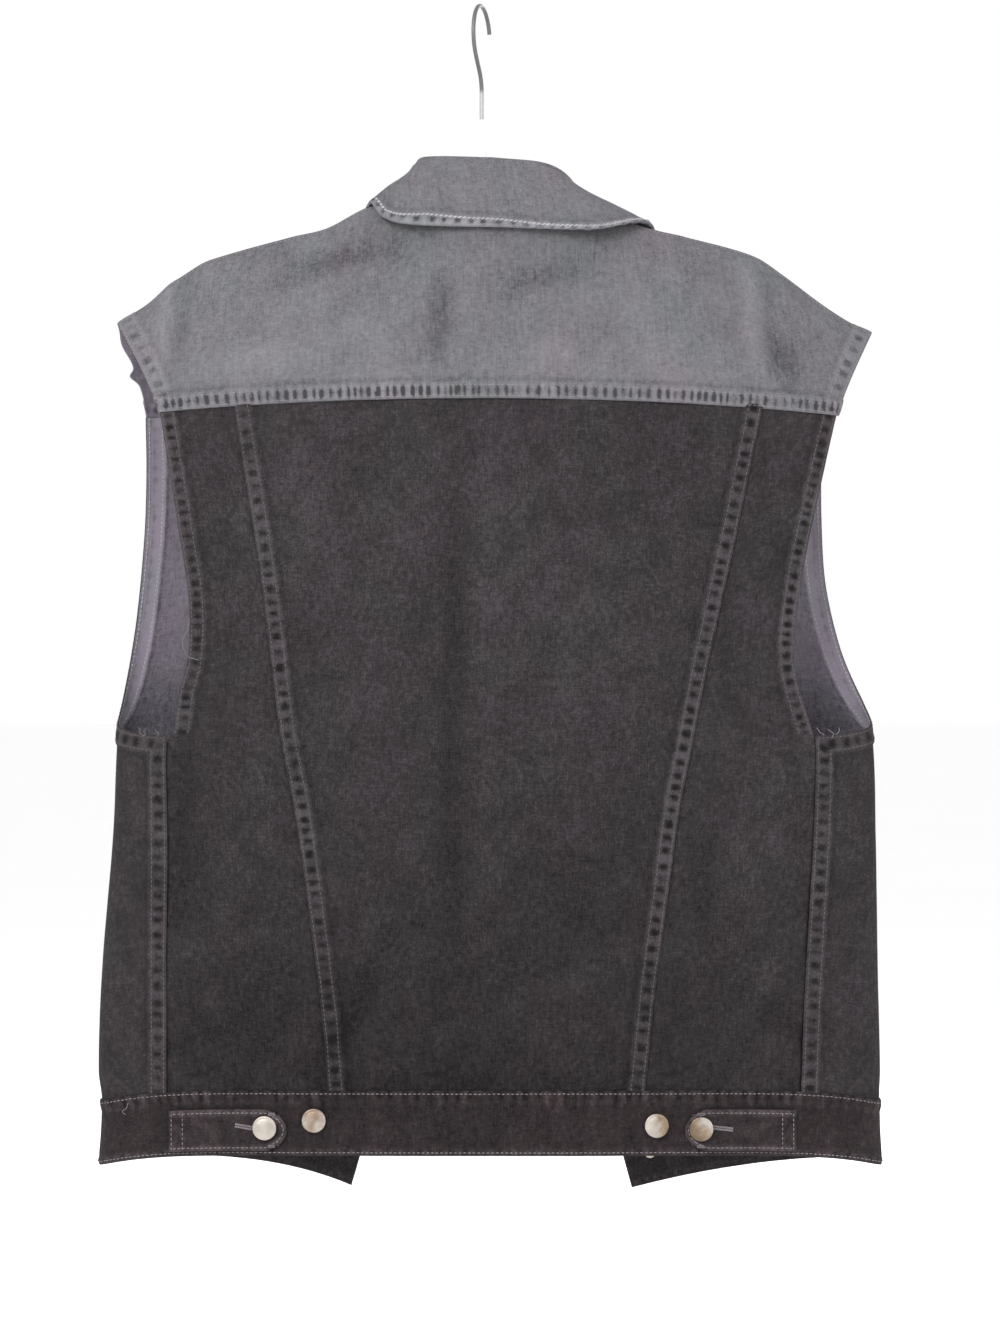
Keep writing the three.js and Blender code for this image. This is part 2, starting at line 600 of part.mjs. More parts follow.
const BAND_HALF = [
  0, 0.06, 0.13, 0.2, 0.27, 0.33, 0.37, 0.4, 0.42, 0.44, 0.47, 0.51, 0.56, 0.62, 0.7, 0.8, 0.9, 1,
];
function addWaistband() {
  const rightHalf = BAND_HALF.map((part) => part / 2);
  const columns = [...rightHalf, ...rightHalf.slice(0, -1).reverse().map((part) => 1 - part)];
  add('waistband', clothWall(bandPoint, columns, steps(3), BAND_WALL, 1), darkDenim);
}

// Something that lies on a face of the body, a given lift above it
function liftedFace(x, height, isBack, lift) {
  const small = 0.5;
  const point = bodyFace(x, height, isBack);
  const across = bodyFace(x + small, height, isBack).sub(bodyFace(x - small, height, isBack));
  const up = bodyFace(x, height + small, isBack).sub(bodyFace(x, height - small, isBack));
  const normal = up.cross(across).normalize().multiplyScalar(isBack ? 1 : -1);
  return { point: point.addScaledVector(normal, lift), normal };
}

// Tabs: u runs from the sewn end to the blunt point, v from the lower edge to the upper
function tabPoint(side) {
  const { sewn, tip, top, bottom, shoulder, nose } = TABS[side];
  return (u, v) => {
    const point = (2 * v - 1) ** 2;
    const x = lerp(sewn, tip + (sewn > 0 ? 1 : -1) * nose * point, u);
    const taper = clamp((u * Math.abs(sewn - tip) - (Math.abs(sewn - tip) - shoulder)) / shoulder, 0, 1);
    const height = lerp(lerp(bottom, top, v), (bottom + top) / 2, 0.3 * taper);
    return liftedFace(x, height, true, SEAM_GAP + TAB_WALL).point;
  };
}

function addTabs() {
  for (const side of Object.keys(SIDES)) {
    const columns = [0, 0.2, 0.4, 0.6, 0.78, 0.9, 1];
    const geometry = clothWall(tabPoint(side), columns, steps(4), TAB_WALL, -SIDES[side]);
    add(`tab_${side}`, geometry, darkDenim);
  }
}

function lathe(profile, segments) {
  return new THREE.LatheGeometry(profile.map(([radius, up]) => new THREE.Vector2(radius, up)), segments);
}

// A lathe piece seated on the cloth, its axis along the cloth's normal
function seat(name, profile, segments, point, normal) {
  const mesh = add(name, lathe(profile, segments), agedMetal);
  mesh.position.copy(point);
  mesh.quaternion.setFromUnitVectors(vec(0, 1, 0), normal);
}

function addButton(name, face, lift, wall) {
  const { normal } = face(lift);
  seat(`${name}_button`, BUTTON_PROFILE, 16, face(lift + SEAM_GAP).point, normal);
  seat(`${name}_tack`, TACK_PROFILE, 12, face(-wall - SEAM_GAP).point, normal.clone().negate());
}

function addButtons() {
  for (const side of Object.keys(SIDES)) {
    const tab = TAB_BUTTONS[side];
    const onTab = (lift) => liftedFace(tab.x, tab.height, true, lift);
    addButton(`tab_${side}`, onTab, SEAM_GAP + TAB_WALL, BAND_WALL);
    const band = BAND_BUTTONS[side];
    const onBand = (lift) => liftedFace(band.x, band.height, true, lift);
    addButton(`band_${side}`, onBand, 0, BAND_WALL);
  }
  FRONT_BUTTON_HEIGHTS.forEach((height, place) => {
    const onPlacket = (lift) => placketFace('right', height, lift);
    addButton(`front_${place + 1}`, onPlacket, 0, PLACKET_WALL);
  });
  const bandX = openingEdge('right', BAND_TOP / 2) - PLACKET_WIDE / 2;
  const onFrontBand = (lift) => liftedFace(bandX, BAND_TOP / 2, false, lift);
  addButton('front_band', onFrontBand, 0, BAND_WALL);
}

function placketFace(side, height, lift) {
  const v = (height - BAND_TOP) / (NECK_FRONT - NECK_FRONT_DIP / 2 - BAND_TOP);
  const point = placketPoint(side)(0.5, v);
  const normal = faceNormal(placketPoint(side), 0.5, v).multiplyScalar(-SIDES[side]);
  return { point: point.addScaledVector(normal, lift), normal };
}

// Collar: u runs from the right front point round the neck to the left, v from the neckline to the free edge
const COLLAR_REACH = 1.1;
function collarPoint(u, v) {
  const side = u < 0.5 ? 'right' : 'left';
  const along = COLLAR_REACH * Math.abs(2 * u - 1);
  const row = (column) => inTable(COLLAR[side], 'along', column, along);
  const roll = vec(row('rollX'), row('rollY'), HEM_LEVEL + row('rollUp'));
  const edge = vec(row('edgeX'), row('edgeY'), HEM_LEVEL + row('edgeUp'));
  const out = edge.clone().sub(roll).setZ(0).normalize();
  const inward = lerp(1, COLLAR_WALL + 0.8, clamp((along - 0.35) / 0.2, 0, 1));
  const foot = necklinePoint(side, along).addScaledVector(out, -inward).add(vec(0, 0, 0.6));
  const down = vec(0, 0, -ROLL_DROP);
  const bulge = FALL_BULGE * Math.abs(out.y);
  const spine = [
    foot,
    foot.clone().lerp(roll, 0.5),
    roll.clone().addScaledVector(out, -ROLL_HALF).add(down),
    roll,
    roll.clone().addScaledVector(out, ROLL_HALF).add(down),
    roll.clone().lerp(edge, 0.55).addScaledVector(out, bulge).add(vec(0, 0, bulge)),
    edge,
  ];
  return new THREE.CatmullRomCurve3(spine, false, 'centripetal').getPoint(v);
}

function addCollar() {
  const rows = [0, 0.12, 0.25, 0.36, 0.44, 0.5, 0.56, 0.64, 0.75, 0.87, 1];
  add('collar', clothWall(collarPoint, steps(22), rows, COLLAR_WALL, -1), paleDenim);
}

// Height of the shoulders over the hanger, which in the neck passes from one side's table to the other's
function shoulderHeight(x) {
  const part = clamp((x + HUB_HALF) / (2 * HUB_HALF), 0, 1);
  return lerp(ridgeHeight('right', x), ridgeHeight('left', x), part * part * (3 - 2 * part));
}

// Hanger arms: a loft of rounded sections from one end to the other, under the shoulder cloth
function armTop(x) {
  const slope = (shoulderHeight(x + 1) - shoulderHeight(x - 1)) / 2;
  const under = shoulderHeight(x) - (YOKE_WALL + ARM_CLEAR) * Math.hypot(1, slope);
  const inNeck = clamp(1 - Math.abs(x) / HUB_HALF, 0, 1);
  return HEM_LEVEL + under + HUB_RISE * inNeck ** 2 * (3 - 2 * inNeck);
}

function armSection(x, end) {
  const inNeck = clamp(1 - Math.abs(x) / HUB_HALF, 0, 1);
  const tall = lerp(ARM_TALL, HUB_TALL, inNeck) * end;
  const middle = armTop(x) - lerp(ARM_TALL, HUB_TALL, inNeck) / 2;
  return Array.from({ length: ARM_CORNERS }, (_, corner) => {
    const angle = (corner / ARM_CORNERS) * 2 * Math.PI;
    return vec(x, (ARM_THICK / 2) * end * Math.sin(angle), middle + (tall / 2) * Math.cos(angle));
  });
}

function addHanger() {
  const loops = [];
  for (const part of steps(28)) {
    const x = lerp(ARM_ENDS.right, ARM_ENDS.left, part);
    const fromEnd = Math.min(x - ARM_ENDS.right, ARM_ENDS.left - x);
    loops.push(armSection(x, clamp(Math.sqrt(fromEnd / END_ROUND), 0.35, 1)));
  }
  const positions = loops.flat().flatMap((point) => point.toArray());
  const index = [];
  for (let loop = 0; loop < loops.length - 1; loop += 1) {
    for (let corner = 0; corner < ARM_CORNERS; corner += 1) {
      const next = (corner + 1) % ARM_CORNERS;
      const [a, b] = [loop * ARM_CORNERS + corner, loop * ARM_CORNERS + next];
      index.push(a, b, b + ARM_CORNERS, a, b + ARM_CORNERS, a + ARM_CORNERS);
    }
  }
  const lastLoop = (loops.length - 1) * ARM_CORNERS;
  for (let corner = 1; corner < ARM_CORNERS - 1; corner += 1) {
    index.push(0, corner + 1, corner);
    index.push(lastLoop, lastLoop + corner, lastLoop + corner + 1);
  }
  add('hanger_arms', outwards(positions, index), plastic);
  const foot = armTop(0) + SEAM_GAP;
  const socket = WIRE_RADIUS + SEAM_GAP;
  const neck = [
    [0, foot],
    [NECK_FOOT_RADIUS, foot],
    [NECK_RADIUS, foot + NECK_TAPER],
    [NECK_RADIUS, NECK_TOP - 1],
    [NECK_RADIUS - 1, NECK_TOP],
    [socket, NECK_TOP],
    [socket, NECK_TOP - WIRE_SOCKET],
    [0, NECK_TOP - WIRE_SOCKET],
  ];
  const neckMesh = add('hanger_neck', lathe(neck, 16), plastic);
  neckMesh.rotation.x = Math.PI / 2;
}

// Hook wire in its own upright plane, which is turned away from the back of the garment
function addHook() {
  const centre = -HOOK_RADIUS + WIRE_RADIUS;
  const inPlane = (out, up) => vec(out * Math.cos(HOOK_TURN), out * Math.sin(HOOK_TURN), up);
  const points = [];
  for (const part of steps(22)) {
    const angle = THREE.MathUtils.degToRad(lerp(HOOK_TIP_ANGLE, HOOK_FOOT_ANGLE, part));
    points.push(inPlane(HOOK_RADIUS * Math.cos(angle), centre + HOOK_RADIUS * Math.sin(angle)));
  }
  const foot = THREE.MathUtils.degToRad(HOOK_FOOT_ANGLE);
  const start = vec(HOOK_RADIUS * Math.cos(foot), 0, centre + HOOK_RADIUS * Math.sin(foot));
  const bend = new THREE.CubicBezierCurve3(
    start,
    vec(start.x + HOOK_BEND * Math.sin(foot), 0, start.z - HOOK_BEND * Math.cos(foot)),
    vec(0, 0, HOOK_SHAFT_TOP + HOOK_BEND),
    vec(0, 0, HOOK_SHAFT_TOP),
  );
  for (const point of bend.getPoints(8).slice(1)) points.push(inPlane(point.x, point.z));
  points.push(vec(0, 0, (HOOK_SHAFT_TOP + NECK_TOP) / 2));
  points.push(vec(0, 0, NECK_TOP - WIRE_SOCKET + SEAM_GAP));
  const circle = new THREE.Shape().absarc(0, 0, WIRE_RADIUS, 0, 2 * Math.PI, false);
  const path = new THREE.CatmullRomCurve3(points);
  const options = { steps: 38, curveSegments: 4, bevelEnabled: false, extrudePath: path };
  add('hanger_hook', new THREE.ExtrudeGeometry(circle, options), chrome);
}

addBackPanels();
addFrontPanels();
addYokes();
addPlackets();
addWaistband();
addTabs();
addButtons();
addCollar();
addHanger();
addHook();

export default group;
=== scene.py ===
"""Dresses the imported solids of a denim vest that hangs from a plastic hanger."""

import bmesh
import bpy
import numpy as np
from bpy.props import FloatProperty, FloatVectorProperty, PointerProperty
from mathutils import Matrix, Vector


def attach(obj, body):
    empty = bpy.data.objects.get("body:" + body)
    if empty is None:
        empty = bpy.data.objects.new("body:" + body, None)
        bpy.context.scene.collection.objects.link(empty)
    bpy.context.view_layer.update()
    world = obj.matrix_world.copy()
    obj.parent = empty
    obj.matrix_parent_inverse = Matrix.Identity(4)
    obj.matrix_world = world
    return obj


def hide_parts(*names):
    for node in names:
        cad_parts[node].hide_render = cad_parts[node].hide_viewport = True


bl_info = {
    "name": "Denim Vest on a Hanger",
    "version": (1, 0, 0),
    "blender": (4, 5, 0),
    "location": "View3D > Sidebar > Vest",
    "description": "Builds the cloth, sewing and metal of a denim vest over its solids",
    "category": "Add Mesh",
}

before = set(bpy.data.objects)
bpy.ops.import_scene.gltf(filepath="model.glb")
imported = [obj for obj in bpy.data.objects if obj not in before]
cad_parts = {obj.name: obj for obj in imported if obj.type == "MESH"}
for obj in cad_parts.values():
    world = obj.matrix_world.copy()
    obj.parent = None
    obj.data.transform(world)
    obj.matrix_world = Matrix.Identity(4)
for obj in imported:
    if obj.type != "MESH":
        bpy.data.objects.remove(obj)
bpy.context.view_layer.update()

# Sizes are in millimetres, in the frame of the solids: +Z up, the garment's back towards +Y
MM = 0.001
LEFT, RIGHT = 1, -1
SIDE_NAMES = {LEFT: "left", RIGHT: "right"}


def table(columns, *rows):
    """A short table with named columns, as one array for each column."""
    return dict(zip(columns.split(), np.array(rows, float).T))


# Places and heights, measured up from the middle of the back hem
HEM_LEVEL = -814
BAND_TOP = 45
SEAM_MIDDLE = 532.6
SEAM_FALL = 10.5
SEAM_REACH = 240
PLACKET_SEAM_X = 60
UNDERARM = 294
SEAM_TURN = 290
SEAM_GAP = 0.3
OPENING_CENTRE = -7
OPENING_NECK = 24
OPENING_SPREAD = 78.5
PLACKET_WIDE = 38
NECK_FRONT = 594
NECK_FRONT_DIP = 8
PLACKET_RUN = 2.5
NECK_CENTRE = -10
NECK_HALF = 72
NECK_BACK_DEPTH = 24
NECK_BACK = 670
YOKE_ROUND = 1.6
YOKE_FLARE = 1.2
SHOULDER_SHARE = 0.36
SIDE_SEAM_SHARE = 0.48
HEM_SINK = 12
SINK_TOP = 320
SINK_BACK_POWER = 8
FRONT_HALF = 280
FRONT_SINK = {LEFT: (24, 3.2), RIGHT: (26, 1.8)}

# Walls of cloth
PANEL_WALL = 0.9
YOKE_WALL = 0.9
PLACKET_WALL = 2.4
BAND_WALL = 2.6
COLLAR_WALL = 2.2
TAB_WALL = 2.4

# Walls of the solids behind which the tacks and the hanger lie
SOLID_YOKE_WALL = 1.9
SOLID_PLACKET_WALL = 2.6
SOLID_BAND_WALL = 2.8

# Sections through the body
BODY = table(
    "height left right back front",
    (-40, 275, -287, 43, 46),
    (0, 273.5, -286, 43, 46),
    (45, 271.2, -284, 43, 45),
    (66, 273.6, -284.6, 43, 45),
    (133, 271.1, -283, 43, 44),
    (226, 263.2, -281.5, 43, 44),
    (290, 260.3, -279.4, 42, 43),
    (330, 255.8, -271.5, 41.5, 42.5),
    (360, 253, -265.5, 41, 42),
    (400, 250.5, -261.5, 40, 41),
    (445, 248.5, -261.5, 39, 40),
    (490, 247.5, -261.5, 37.5, 39),
    (530, 248, -264, 36, 38),
)
BACK_SEAMS = table(
    "height slant_left slant_right outer_left outer_right",
    (45, 106.8, -114.2, 222.3, -225.3),
    (114, 112.9, -121.2, 222.3, -228.1),
    (190, 122.8, -131.2, 222.3, -232.5),
    (240, 130, -138, 222.3, -235.3),
    (290, 139.5, -147.8, 222.3, -236),
    (300, 141, -149.7, 217, -233.5),
    (326, 144.4, -154.8, 213.5, -225.3),
    (350, 147.3, -159.6, 207.2, -220.8),
    (390, 152.2, -168.4, 206.6, -223.6),
    (440, 159.3, -179.3, 214, -232.3),
    (530, 173.9, -197.6, 228.5, -253),
)
# Edge of a front panel round the armhole: reach is measured from the side fold, towards the back
ARMHOLE = table(
    "step reach height level",
    (0, 41, 294, 160),
    (0.1, 22, 296.5, 196),
    (0.2, 5, 303, 240),
    (0.3, -6, 317, 286),
    (0.5, -14, 360, 350),
    (0.75, -19, 440, 440),
    (1, -18, 523, 532),
)
ARMHOLE_TURN = {LEFT: 1, RIGHT: 1.6}
RIDGE = {
    LEFT: table(
        "out height",
        (62, 676), (83, 671), (111, 656.6), (137, 650.2), (190, 635.4),
        (201, 631), (223, 616.5), (240, 602), (261, 588.8),
    ),
    RIGHT: table(
        "out height",
        (82, 671), (100, 664), (124, 655.5), (145, 650.6), (195, 636.3),
        (216, 622.7), (243, 602.6), (264, 589), (279.5, 582),
    ),
}
COLLAR_COLUMNS = "along roll_x roll_y roll_up edge_x edge_y edge_up"
COLLAR = {
    LEFT: table(
        COLLAR_COLUMNS,
        (0, -8, 18, 704.5, -10, 31, 653),
        (0.25, 39, 12, 706, 52, 28, 655.5),
        (0.4, 47, 1.5, 703, 71, 14, 663),
        (0.5, 50, -6, 699.5, 81, 3, 675.1),
        (0.65, 52, -18, 676, 89, -23, 655),
        (0.8, 48, -31, 650, 97, -38, 622),
        (1.1, 40, -39, 604, 78, -46, 556),
    ),
    RIGHT: table(
        COLLAR_COLUMNS,
        (0, -8, 18, 704.5, -10, 31, 653),
        (0.25, -48, 13, 700.5, -78, 28, 652),
        (0.5, -68, -4, 686.5, -120, 3, 661),
        (0.65, -70, -18, 668, -126, -22, 643),
        (0.8, -66, -31, 646, -120, -38, 612),
        (1.1, -56, -39, 604, -96, -46, 552),
    ),
}
COLLAR_REACH = 1.1

# How far the collar's row lies above its edge: across the back by place, and on the front
COLLAR_INSETS = (-110, -96, -43, -13, 10, 40, 78), (1.6, 1.8, 3, 5.3, 6, 8, 4.5)
COLLAR_FRONT_INSET = 6
ROLL_HALF = 3.2
ROLL_DROP = 4
FALL_BULGE = 2

# Folds as soft ridges and troughs: the largest ones are in the solids too
FOLD_COLUMNS = "x height lean long wide rise"
BACK_FOLDS = table(
    FOLD_COLUMNS,
    (12, 310, 0.03, 190, 13, -3.2),
    (-8, 330, 0.03, 180, 12, 1.6),
    (209, 240, 0.17, 80, 12, -4.5),
    (172, 148, 1.3, 70, 18, 3),
    (-6, 62, 1.57, 90, 9, -2.5),
    (-186, 200, -0.12, 110, 18, 2.2),
)
FRONT_FOLDS = table(
    FOLD_COLUMNS,
    (170, 250, 0.1, 150, 22, 4),
    (128, 330, 0.06, 130, 16, -3),
    (-165, 220, -0.12, 150, 24, 4),
    (-205, 320, -0.2, 90, 16, -3),
)
BACK_CREASES = table(
    FOLD_COLUMNS,
    (24, 320, 0.02, 170, 5, -0.9),
    (60, 430, 0.35, 60, 14, 0.9),
    (118, 440, -0.2, 55, 12, 0.8),
    (-40, 470, 0.1, 50, 10, -0.7),
    (-70, 380, 0.25, 70, 16, 0.9),
    (-95, 250, -0.3, 60, 12, -0.8),
    (70, 180, 0.5, 60, 12, 0.8),
    (96, 92, 0.5, 38, 10, -1.8),
    (-60, 120, 1.2, 60, 11, 1),
    (-20, 88, 1.5, 80, 7, 0.9),
    (185, 330, 0.12, 60, 8, -0.9),
    (196, 120, -0.5, 50, 10, 1.1),
    (188, 88, 1.1, 40, 8, -1),
    (152, 260, -0.1, 60, 8, 0.8),
    (-176, 330, -0.15, 70, 9, -1),
    (-206, 240, -0.05, 60, 8, 0.9),
    (-190, 110, 0.6, 45, 10, 1.1),
    (-212, 90, -0.9, 36, 8, -1.1),
    (-158, 180, -0.2, 60, 9, -0.8),
    (168, 440, 0.2, 60, 8, 0.8),
    (-205, 440, -0.2, 60, 8, -0.8),
)
FRONT_CREASES = table(
    FOLD_COLUMNS,
    (200, 120, 0.3, 60, 12, 1.3),
    (150, 90, 1.2, 50, 10, -1.2),
    (110, 180, 0.2, 70, 12, 1.1),
    (215, 380, 0.1, 60, 10, -1.1),
    (95, 430, -0.2, 70, 12, 1),
    (180, 470, 0.3, 50, 10, 0.9),
    (-200, 120, -0.3, 60, 12, 1.3),
    (-150, 90, -1.2, 50, 10, -1.2),
    (-120, 170, -0.2, 70, 12, 1.1),
    (-225, 390, -0.1, 60, 10, -1.1),
    (-100, 420, 0.2, 70, 12, 1),
    (-180, 470, -0.3, 50, 10, 0.9),
)
YOKE_CREASES = table(
    FOLD_COLUMNS,
    (224, 600, 0.05, 34, 5, 1.8),
    (213, 598, 0.05, 34, 6, -1.4),
    (104, 630, 1.2, 52, 8, -1.8),
    (30, 588, 0.1, 30, 9, -1.5),
    (-42, 618, 1.15, 40, 9, -1.6),
    (-190, 595, -0.08, 36, 7, 1.6),
    (-206, 590, -0.1, 34, 6, -1.3),
    (-216, 560, -0.5, 26, 9, -1.6),
    (150, 570, 0.7, 50, 13, 1.1),
    (-120, 575, -0.4, 50, 14, 1),
    (-70, 560, 0.5, 36, 10, -0.8),
    (70, 565, -0.3, 40, 12, 0.9),
)

# Paler and darker places: patches from washing, painted light on the ridges of folds, painted shade in their
# troughs, and darker cloth towards the hem
PATCH_COLUMNS = "x height wide tall tone"
BACK_PATCHES = table(
    PATCH_COLUMNS,
    (130, 440, 26, 70, 0.07),
    (-22, 440, 48, 90, 0.08),
    (60, 470, 60, 40, 0.03),
    (18, 300, 9, 190, -0.1),
    (-6, 310, 8, 170, 0.05),
    (210, 235, 12, 80, -0.14),
    (166, 150, 60, 12, 0.07),
    (102, 66, 14, 34, -0.13),
    (0, 52, 130, 9, -0.1),
    (-66, 318, 26, 16, 0.05),
    (-66, 190, 44, 26, -0.05),
    (250, 180, 10, 150, -0.06),
    (-190, 210, 16, 90, 0.06),
    (-246, 190, 9, 110, 0.05),
    (0, 80, 300, 120, -0.17),
    (170, 90, 60, 80, -0.06),
    (-250, 80, 40, 60, -0.04),
)
FRONT_PATCHES = table(
    PATCH_COLUMNS,
    (150, 420, 50, 90, 0.06),
    (-150, 420, 50, 90, 0.06),
    (170, 250, 20, 140, 0.05),
    (-165, 220, 22, 140, 0.05),
    (128, 330, 12, 120, -0.08),
    (-205, 320, 12, 90, -0.08),
    (0, 70, 300, 50, -0.05),
)
YOKE_PATCHES = table(
    PATCH_COLUMNS,
    (0, 545, 260, 16, 0.05),
    (150, 560, 36, 12, 0.09),
    (106, 578, 30, 12, 0.09),
    (-46, 562, 34, 12, 0.09),
    (228, 590, 7, 40, 0.12),
    (-192, 592, 9, 34, 0.08),
    (104, 634, 60, 8, -0.1),
    (30, 590, 9, 30, -0.1),
    (-40, 618, 32, 8, -0.09),
    (-218, 560, 12, 20, -0.12),
    (0, 652, 120, 14, -0.06),
)

# Sewn strips: how wide they are, how far they stand up and reach over the next piece, and how far
# apart their puckers lie
LAP_WIDE = 12
HEM_WIDE = 14
INNER_HEM_WIDE = 14
YOKE_LAP_WIDE = 11.5
LAP_RISE = 1.25
LAP_OVER = 1.1
TUCK = 2.5
PUCKER_PITCH = 9.5
CLOSE_PITCH = PUCKER_PITCH * 0.8
YOKE_PUCKER_PITCH = 5.8
LAP_EDGE = 1.5
SIDE_LAP_WIDE = 13
ROW_INSET = 2
LAP_ROWS = (ROW_INSET, LAP_WIDE - ROW_INSET)
YOKE_ROWS = (ROW_INSET, YOKE_LAP_WIDE - ROW_INSET)
SIDE_ROWS = (ROW_INSET, SIDE_LAP_WIDE - ROW_INSET)
ARMHOLE_ROWS = (ROW_INSET, 10)
YOKE_END_ROWS = (ROW_INSET, 11)
INNER_ROWS = (2.5, INNER_HEM_WIDE - 1.5)
YOKE_TOP_ROW = 4
PLACKET_ROW = 5
BAND_TOP_ROW = 2.2
BAND_LOW_ROW = 2.4
BAND_END_ROW = 4
TAB_ROW = 2.6
TAB_SEWN_ROWS = (2, 10)
COLLAR_END_ROW = 5.8
COLLAR_ROW_GAP = 0.7
FINE_STEP = 1.3

# How strongly sewing and wear change the tone of the cloth, how strongly dirt and painted shade darken the
# troughs of sewn strips, how strongly painted shade darkens their feet, the inner face and slits, and how far
# gathers rise
MIDDLE_RUB = 0.14
CREST_RUB = 0.25
RAIL_RUB = 0.42
TROUGH_DIRT_AND_SHADE = 0.68
FOOT_SHADE = 0.09
INNER_PALE = 0.85
INNER_LINES = 0.3
INNER_SHADE = 0.22
SLIT_DARK = 0.3
GATHER_RISE = 0.35

# Where the front hem shows past the back at the shoulder: height, how wide and how far out
SHOULDER_FLARES = {LEFT: ((574, 9, 3), (551.8, 4, 5)), RIGHT: ()}

# Tabs, buttons and buttonholes
TAB_COLUMNS = ("sewn", "tip", "top", "bottom", "shoulder", "nose")
TABS = {
    LEFT: dict(zip(TAB_COLUMNS, (219.5, 136, 33, 3.5, 9, 6))),
    RIGHT: dict(zip(TAB_COLUMNS, (-221, -142.5, 33, 3.5, 9, 6))),
}
TAB_HOLES = {
    LEFT: ((172.4, 21.5), (160.5, 19.6)),
    RIGHT: ((-176.2, 18.7), (-162.4, 20.3)),
}
THREAD_LIFT = 1.2
HOLE_WIDE = 3.4
HOLE_LONG = 22
HOLE_INSET = 6
TACK_LONG = 4
TACK_WIDE = 2.2
TACK_INSET = 3.5
TAB_BUTTONS = {LEFT: (151.6, 20.2), RIGHT: (-153.8, 19.5)}
BAND_BUTTONS = {LEFT: (117.3, 25.1), RIGHT: (-122.9, 21.6)}
FRONT_BUTTON_HEIGHTS = (95, 212, 329, 446, 563)
BUTTON_PROFILE = table(
    "out up",
    (0, 0), (3.2, 0), (3.3, 0.9), (8.2, 1.1), (8.5, 1.5), (8.5, 2.1), (8.3, 2.6), (7.8, 2.85), (7.2, 2.75),
    (6.8, 2.62), (6.3, 2.8), (5, 3.15), (3, 3.45), (1.4, 3.55), (0, 3.58),
)
TACK_PROFILE = table("out up", (0, 0), (3.85, 0), (3.85, 0.3), (3.5, 0.8), (2.4, 0.95), (1.6, 0.8), (0, 0.75))

# Loose thread ends on the back: start x and height, run across, drop and curl
LOOSE_THREADS = (
    (205.5, 376, 5, 24, 2.5),
    (207, 352, -6, 5, 3),
    (242, 300, -5, 7, 2),
    (236, 300, 2, 6, 2),
    (230, 299, -4, 5, 1.5),
    (-236, 300, -4, 5, 1.5),
    (-244, 299, -5, 6, 2),
    (-252, 300, 2, 6, 1.5),
    (249, 41, 3, 8, 2),
)

# Hanger and hook
ARM_ENDS = {LEFT: 200, RIGHT: -192}
ARM_THICK = 9
ARM_CLEAR = 1.7
ARM_TALL = 22
HUB_RISE = 14
HUB_TALL = 32
HUB_HALF = 62
END_ROUND = 12
NECK_TOP = -80
NECK_RADIUS = 4.2
NECK_FOOT_RADIUS = 6.5
NECK_TAPER = 16
WIRE_RADIUS = 1.5
WIRE_SOCKET = 14
HOOK_RADIUS = 22
HOOK_TURN = 75
HOOK_TIP_ANGLE = 163
HOOK_FOOT_ANGLE = -35
HOOK_SHAFT_TOP = -60
HOOK_BEND = 13
SHAFT_BLEND = 4

# Camera and light
CAMERA_PLACE = (-13.1, 2045, -470.8)
CAMERA_VIEW = 26.26
FLOOR_DROP = 300
# Name, place, size and power in watts
LAMPS = (
    ("key_light", (1100, 1900, 900), 1200, 40),
    ("fill_light", (-1800, 1500, 200), 1600, 12),
    ("far_light", (-600, -2300, 300), 1800, 34),
)


class VestColours(bpy.types.PropertyGroup):
    """Colours of the cloth, thread, metal and plastic."""

    def colour(name, text, *value):
        return FloatVectorProperty(name=name, description=text, subtype="COLOR", size=3, default=value)

    dark: colour("Dark denim", "Washed black cloth of the body", 0.0300, 0.0264, 0.0284)
    pale: colour("Pale denim", "Faded cloth of the yokes and collar", 0.139, 0.137, 0.147)
    wrong: colour("Wrong side", "Inner face of the cloth", 0.190, 0.172, 0.204)
    dark_thread: colour("Dark thread", "Thread of the seams in the dark cloth", 0.100, 0.088, 0.095)
    pale_thread: colour("Pale thread", "Faded thread of the band, tabs and yokes", 0.220, 0.197, 0.210)
    light_thread: colour("Light thread", "Nearly white thread of the collar", 0.470, 0.455, 0.470)
    metal: colour("Button metal", "Aged metal of the tack buttons", 0.370, 0.335, 0.300)
    wire: colour("Hook wire", "Steel of the hook", 0.170, 0.170, 0.175)
    plastic: colour("Hanger plastic", "White plastic of the hanger", 0.830, 0.830, 0.820)


class VestSizes(bpy.types.PropertyGroup):
    """Sizes of the sewing and the relief of the cloth."""

    stitch: FloatProperty(
        name="Stitch", description="Length of one stitch", unit="LENGTH", default=0.0024)
    stitch_pitch: FloatProperty(
        name="Stitch pitch", description="From one stitch to the next", unit="LENGTH", default=0.0033)
    thread: FloatProperty(
        name="Thread", description="Thickness of the sewing thread", unit="LENGTH", default=0.0007)
    pucker: FloatProperty(
        name="Pucker", description="Height of the puckers in a sewn strip", unit="LENGTH", default=0.0007)
    twill: FloatProperty(
        name="Twill", description="From one twill line to the next", unit="LENGTH", default=0.0011)


# Shapes of the cloth, worked out for whole grids of places at once
def lerp(start, stop, part):
    return start + (stop - start) * part


def stack(x, y, z):
    return np.stack(np.broadcast_arrays(x, y, z), axis=-1)


def ramp(value, start, stop):
    """Goes smoothly from 0 at start to 1 at stop."""
    part = np.clip((value - start) / (stop - start), 0, 1)
    return part * part * (3 - 2 * part)


def pick(side, left, right):
    return np.where(side > 0, left, right)


def bell(value, wide):
    """Falls from 1 where the value is 0 to nearly nothing past twice wide."""
    return np.exp(-(value / wide) ** 2)


def hermite(start, stop, start_slope, stop_slope, part):
    """A cubic between two values, with a slope at each of them."""
    square, cube = part ** 2, part ** 3
    low = (2 * cube - 3 * square + 1) * start + (cube - 2 * square + part) * start_slope
    return low + (3 * square - 2 * cube) * stop + (cube - square) * stop_slope


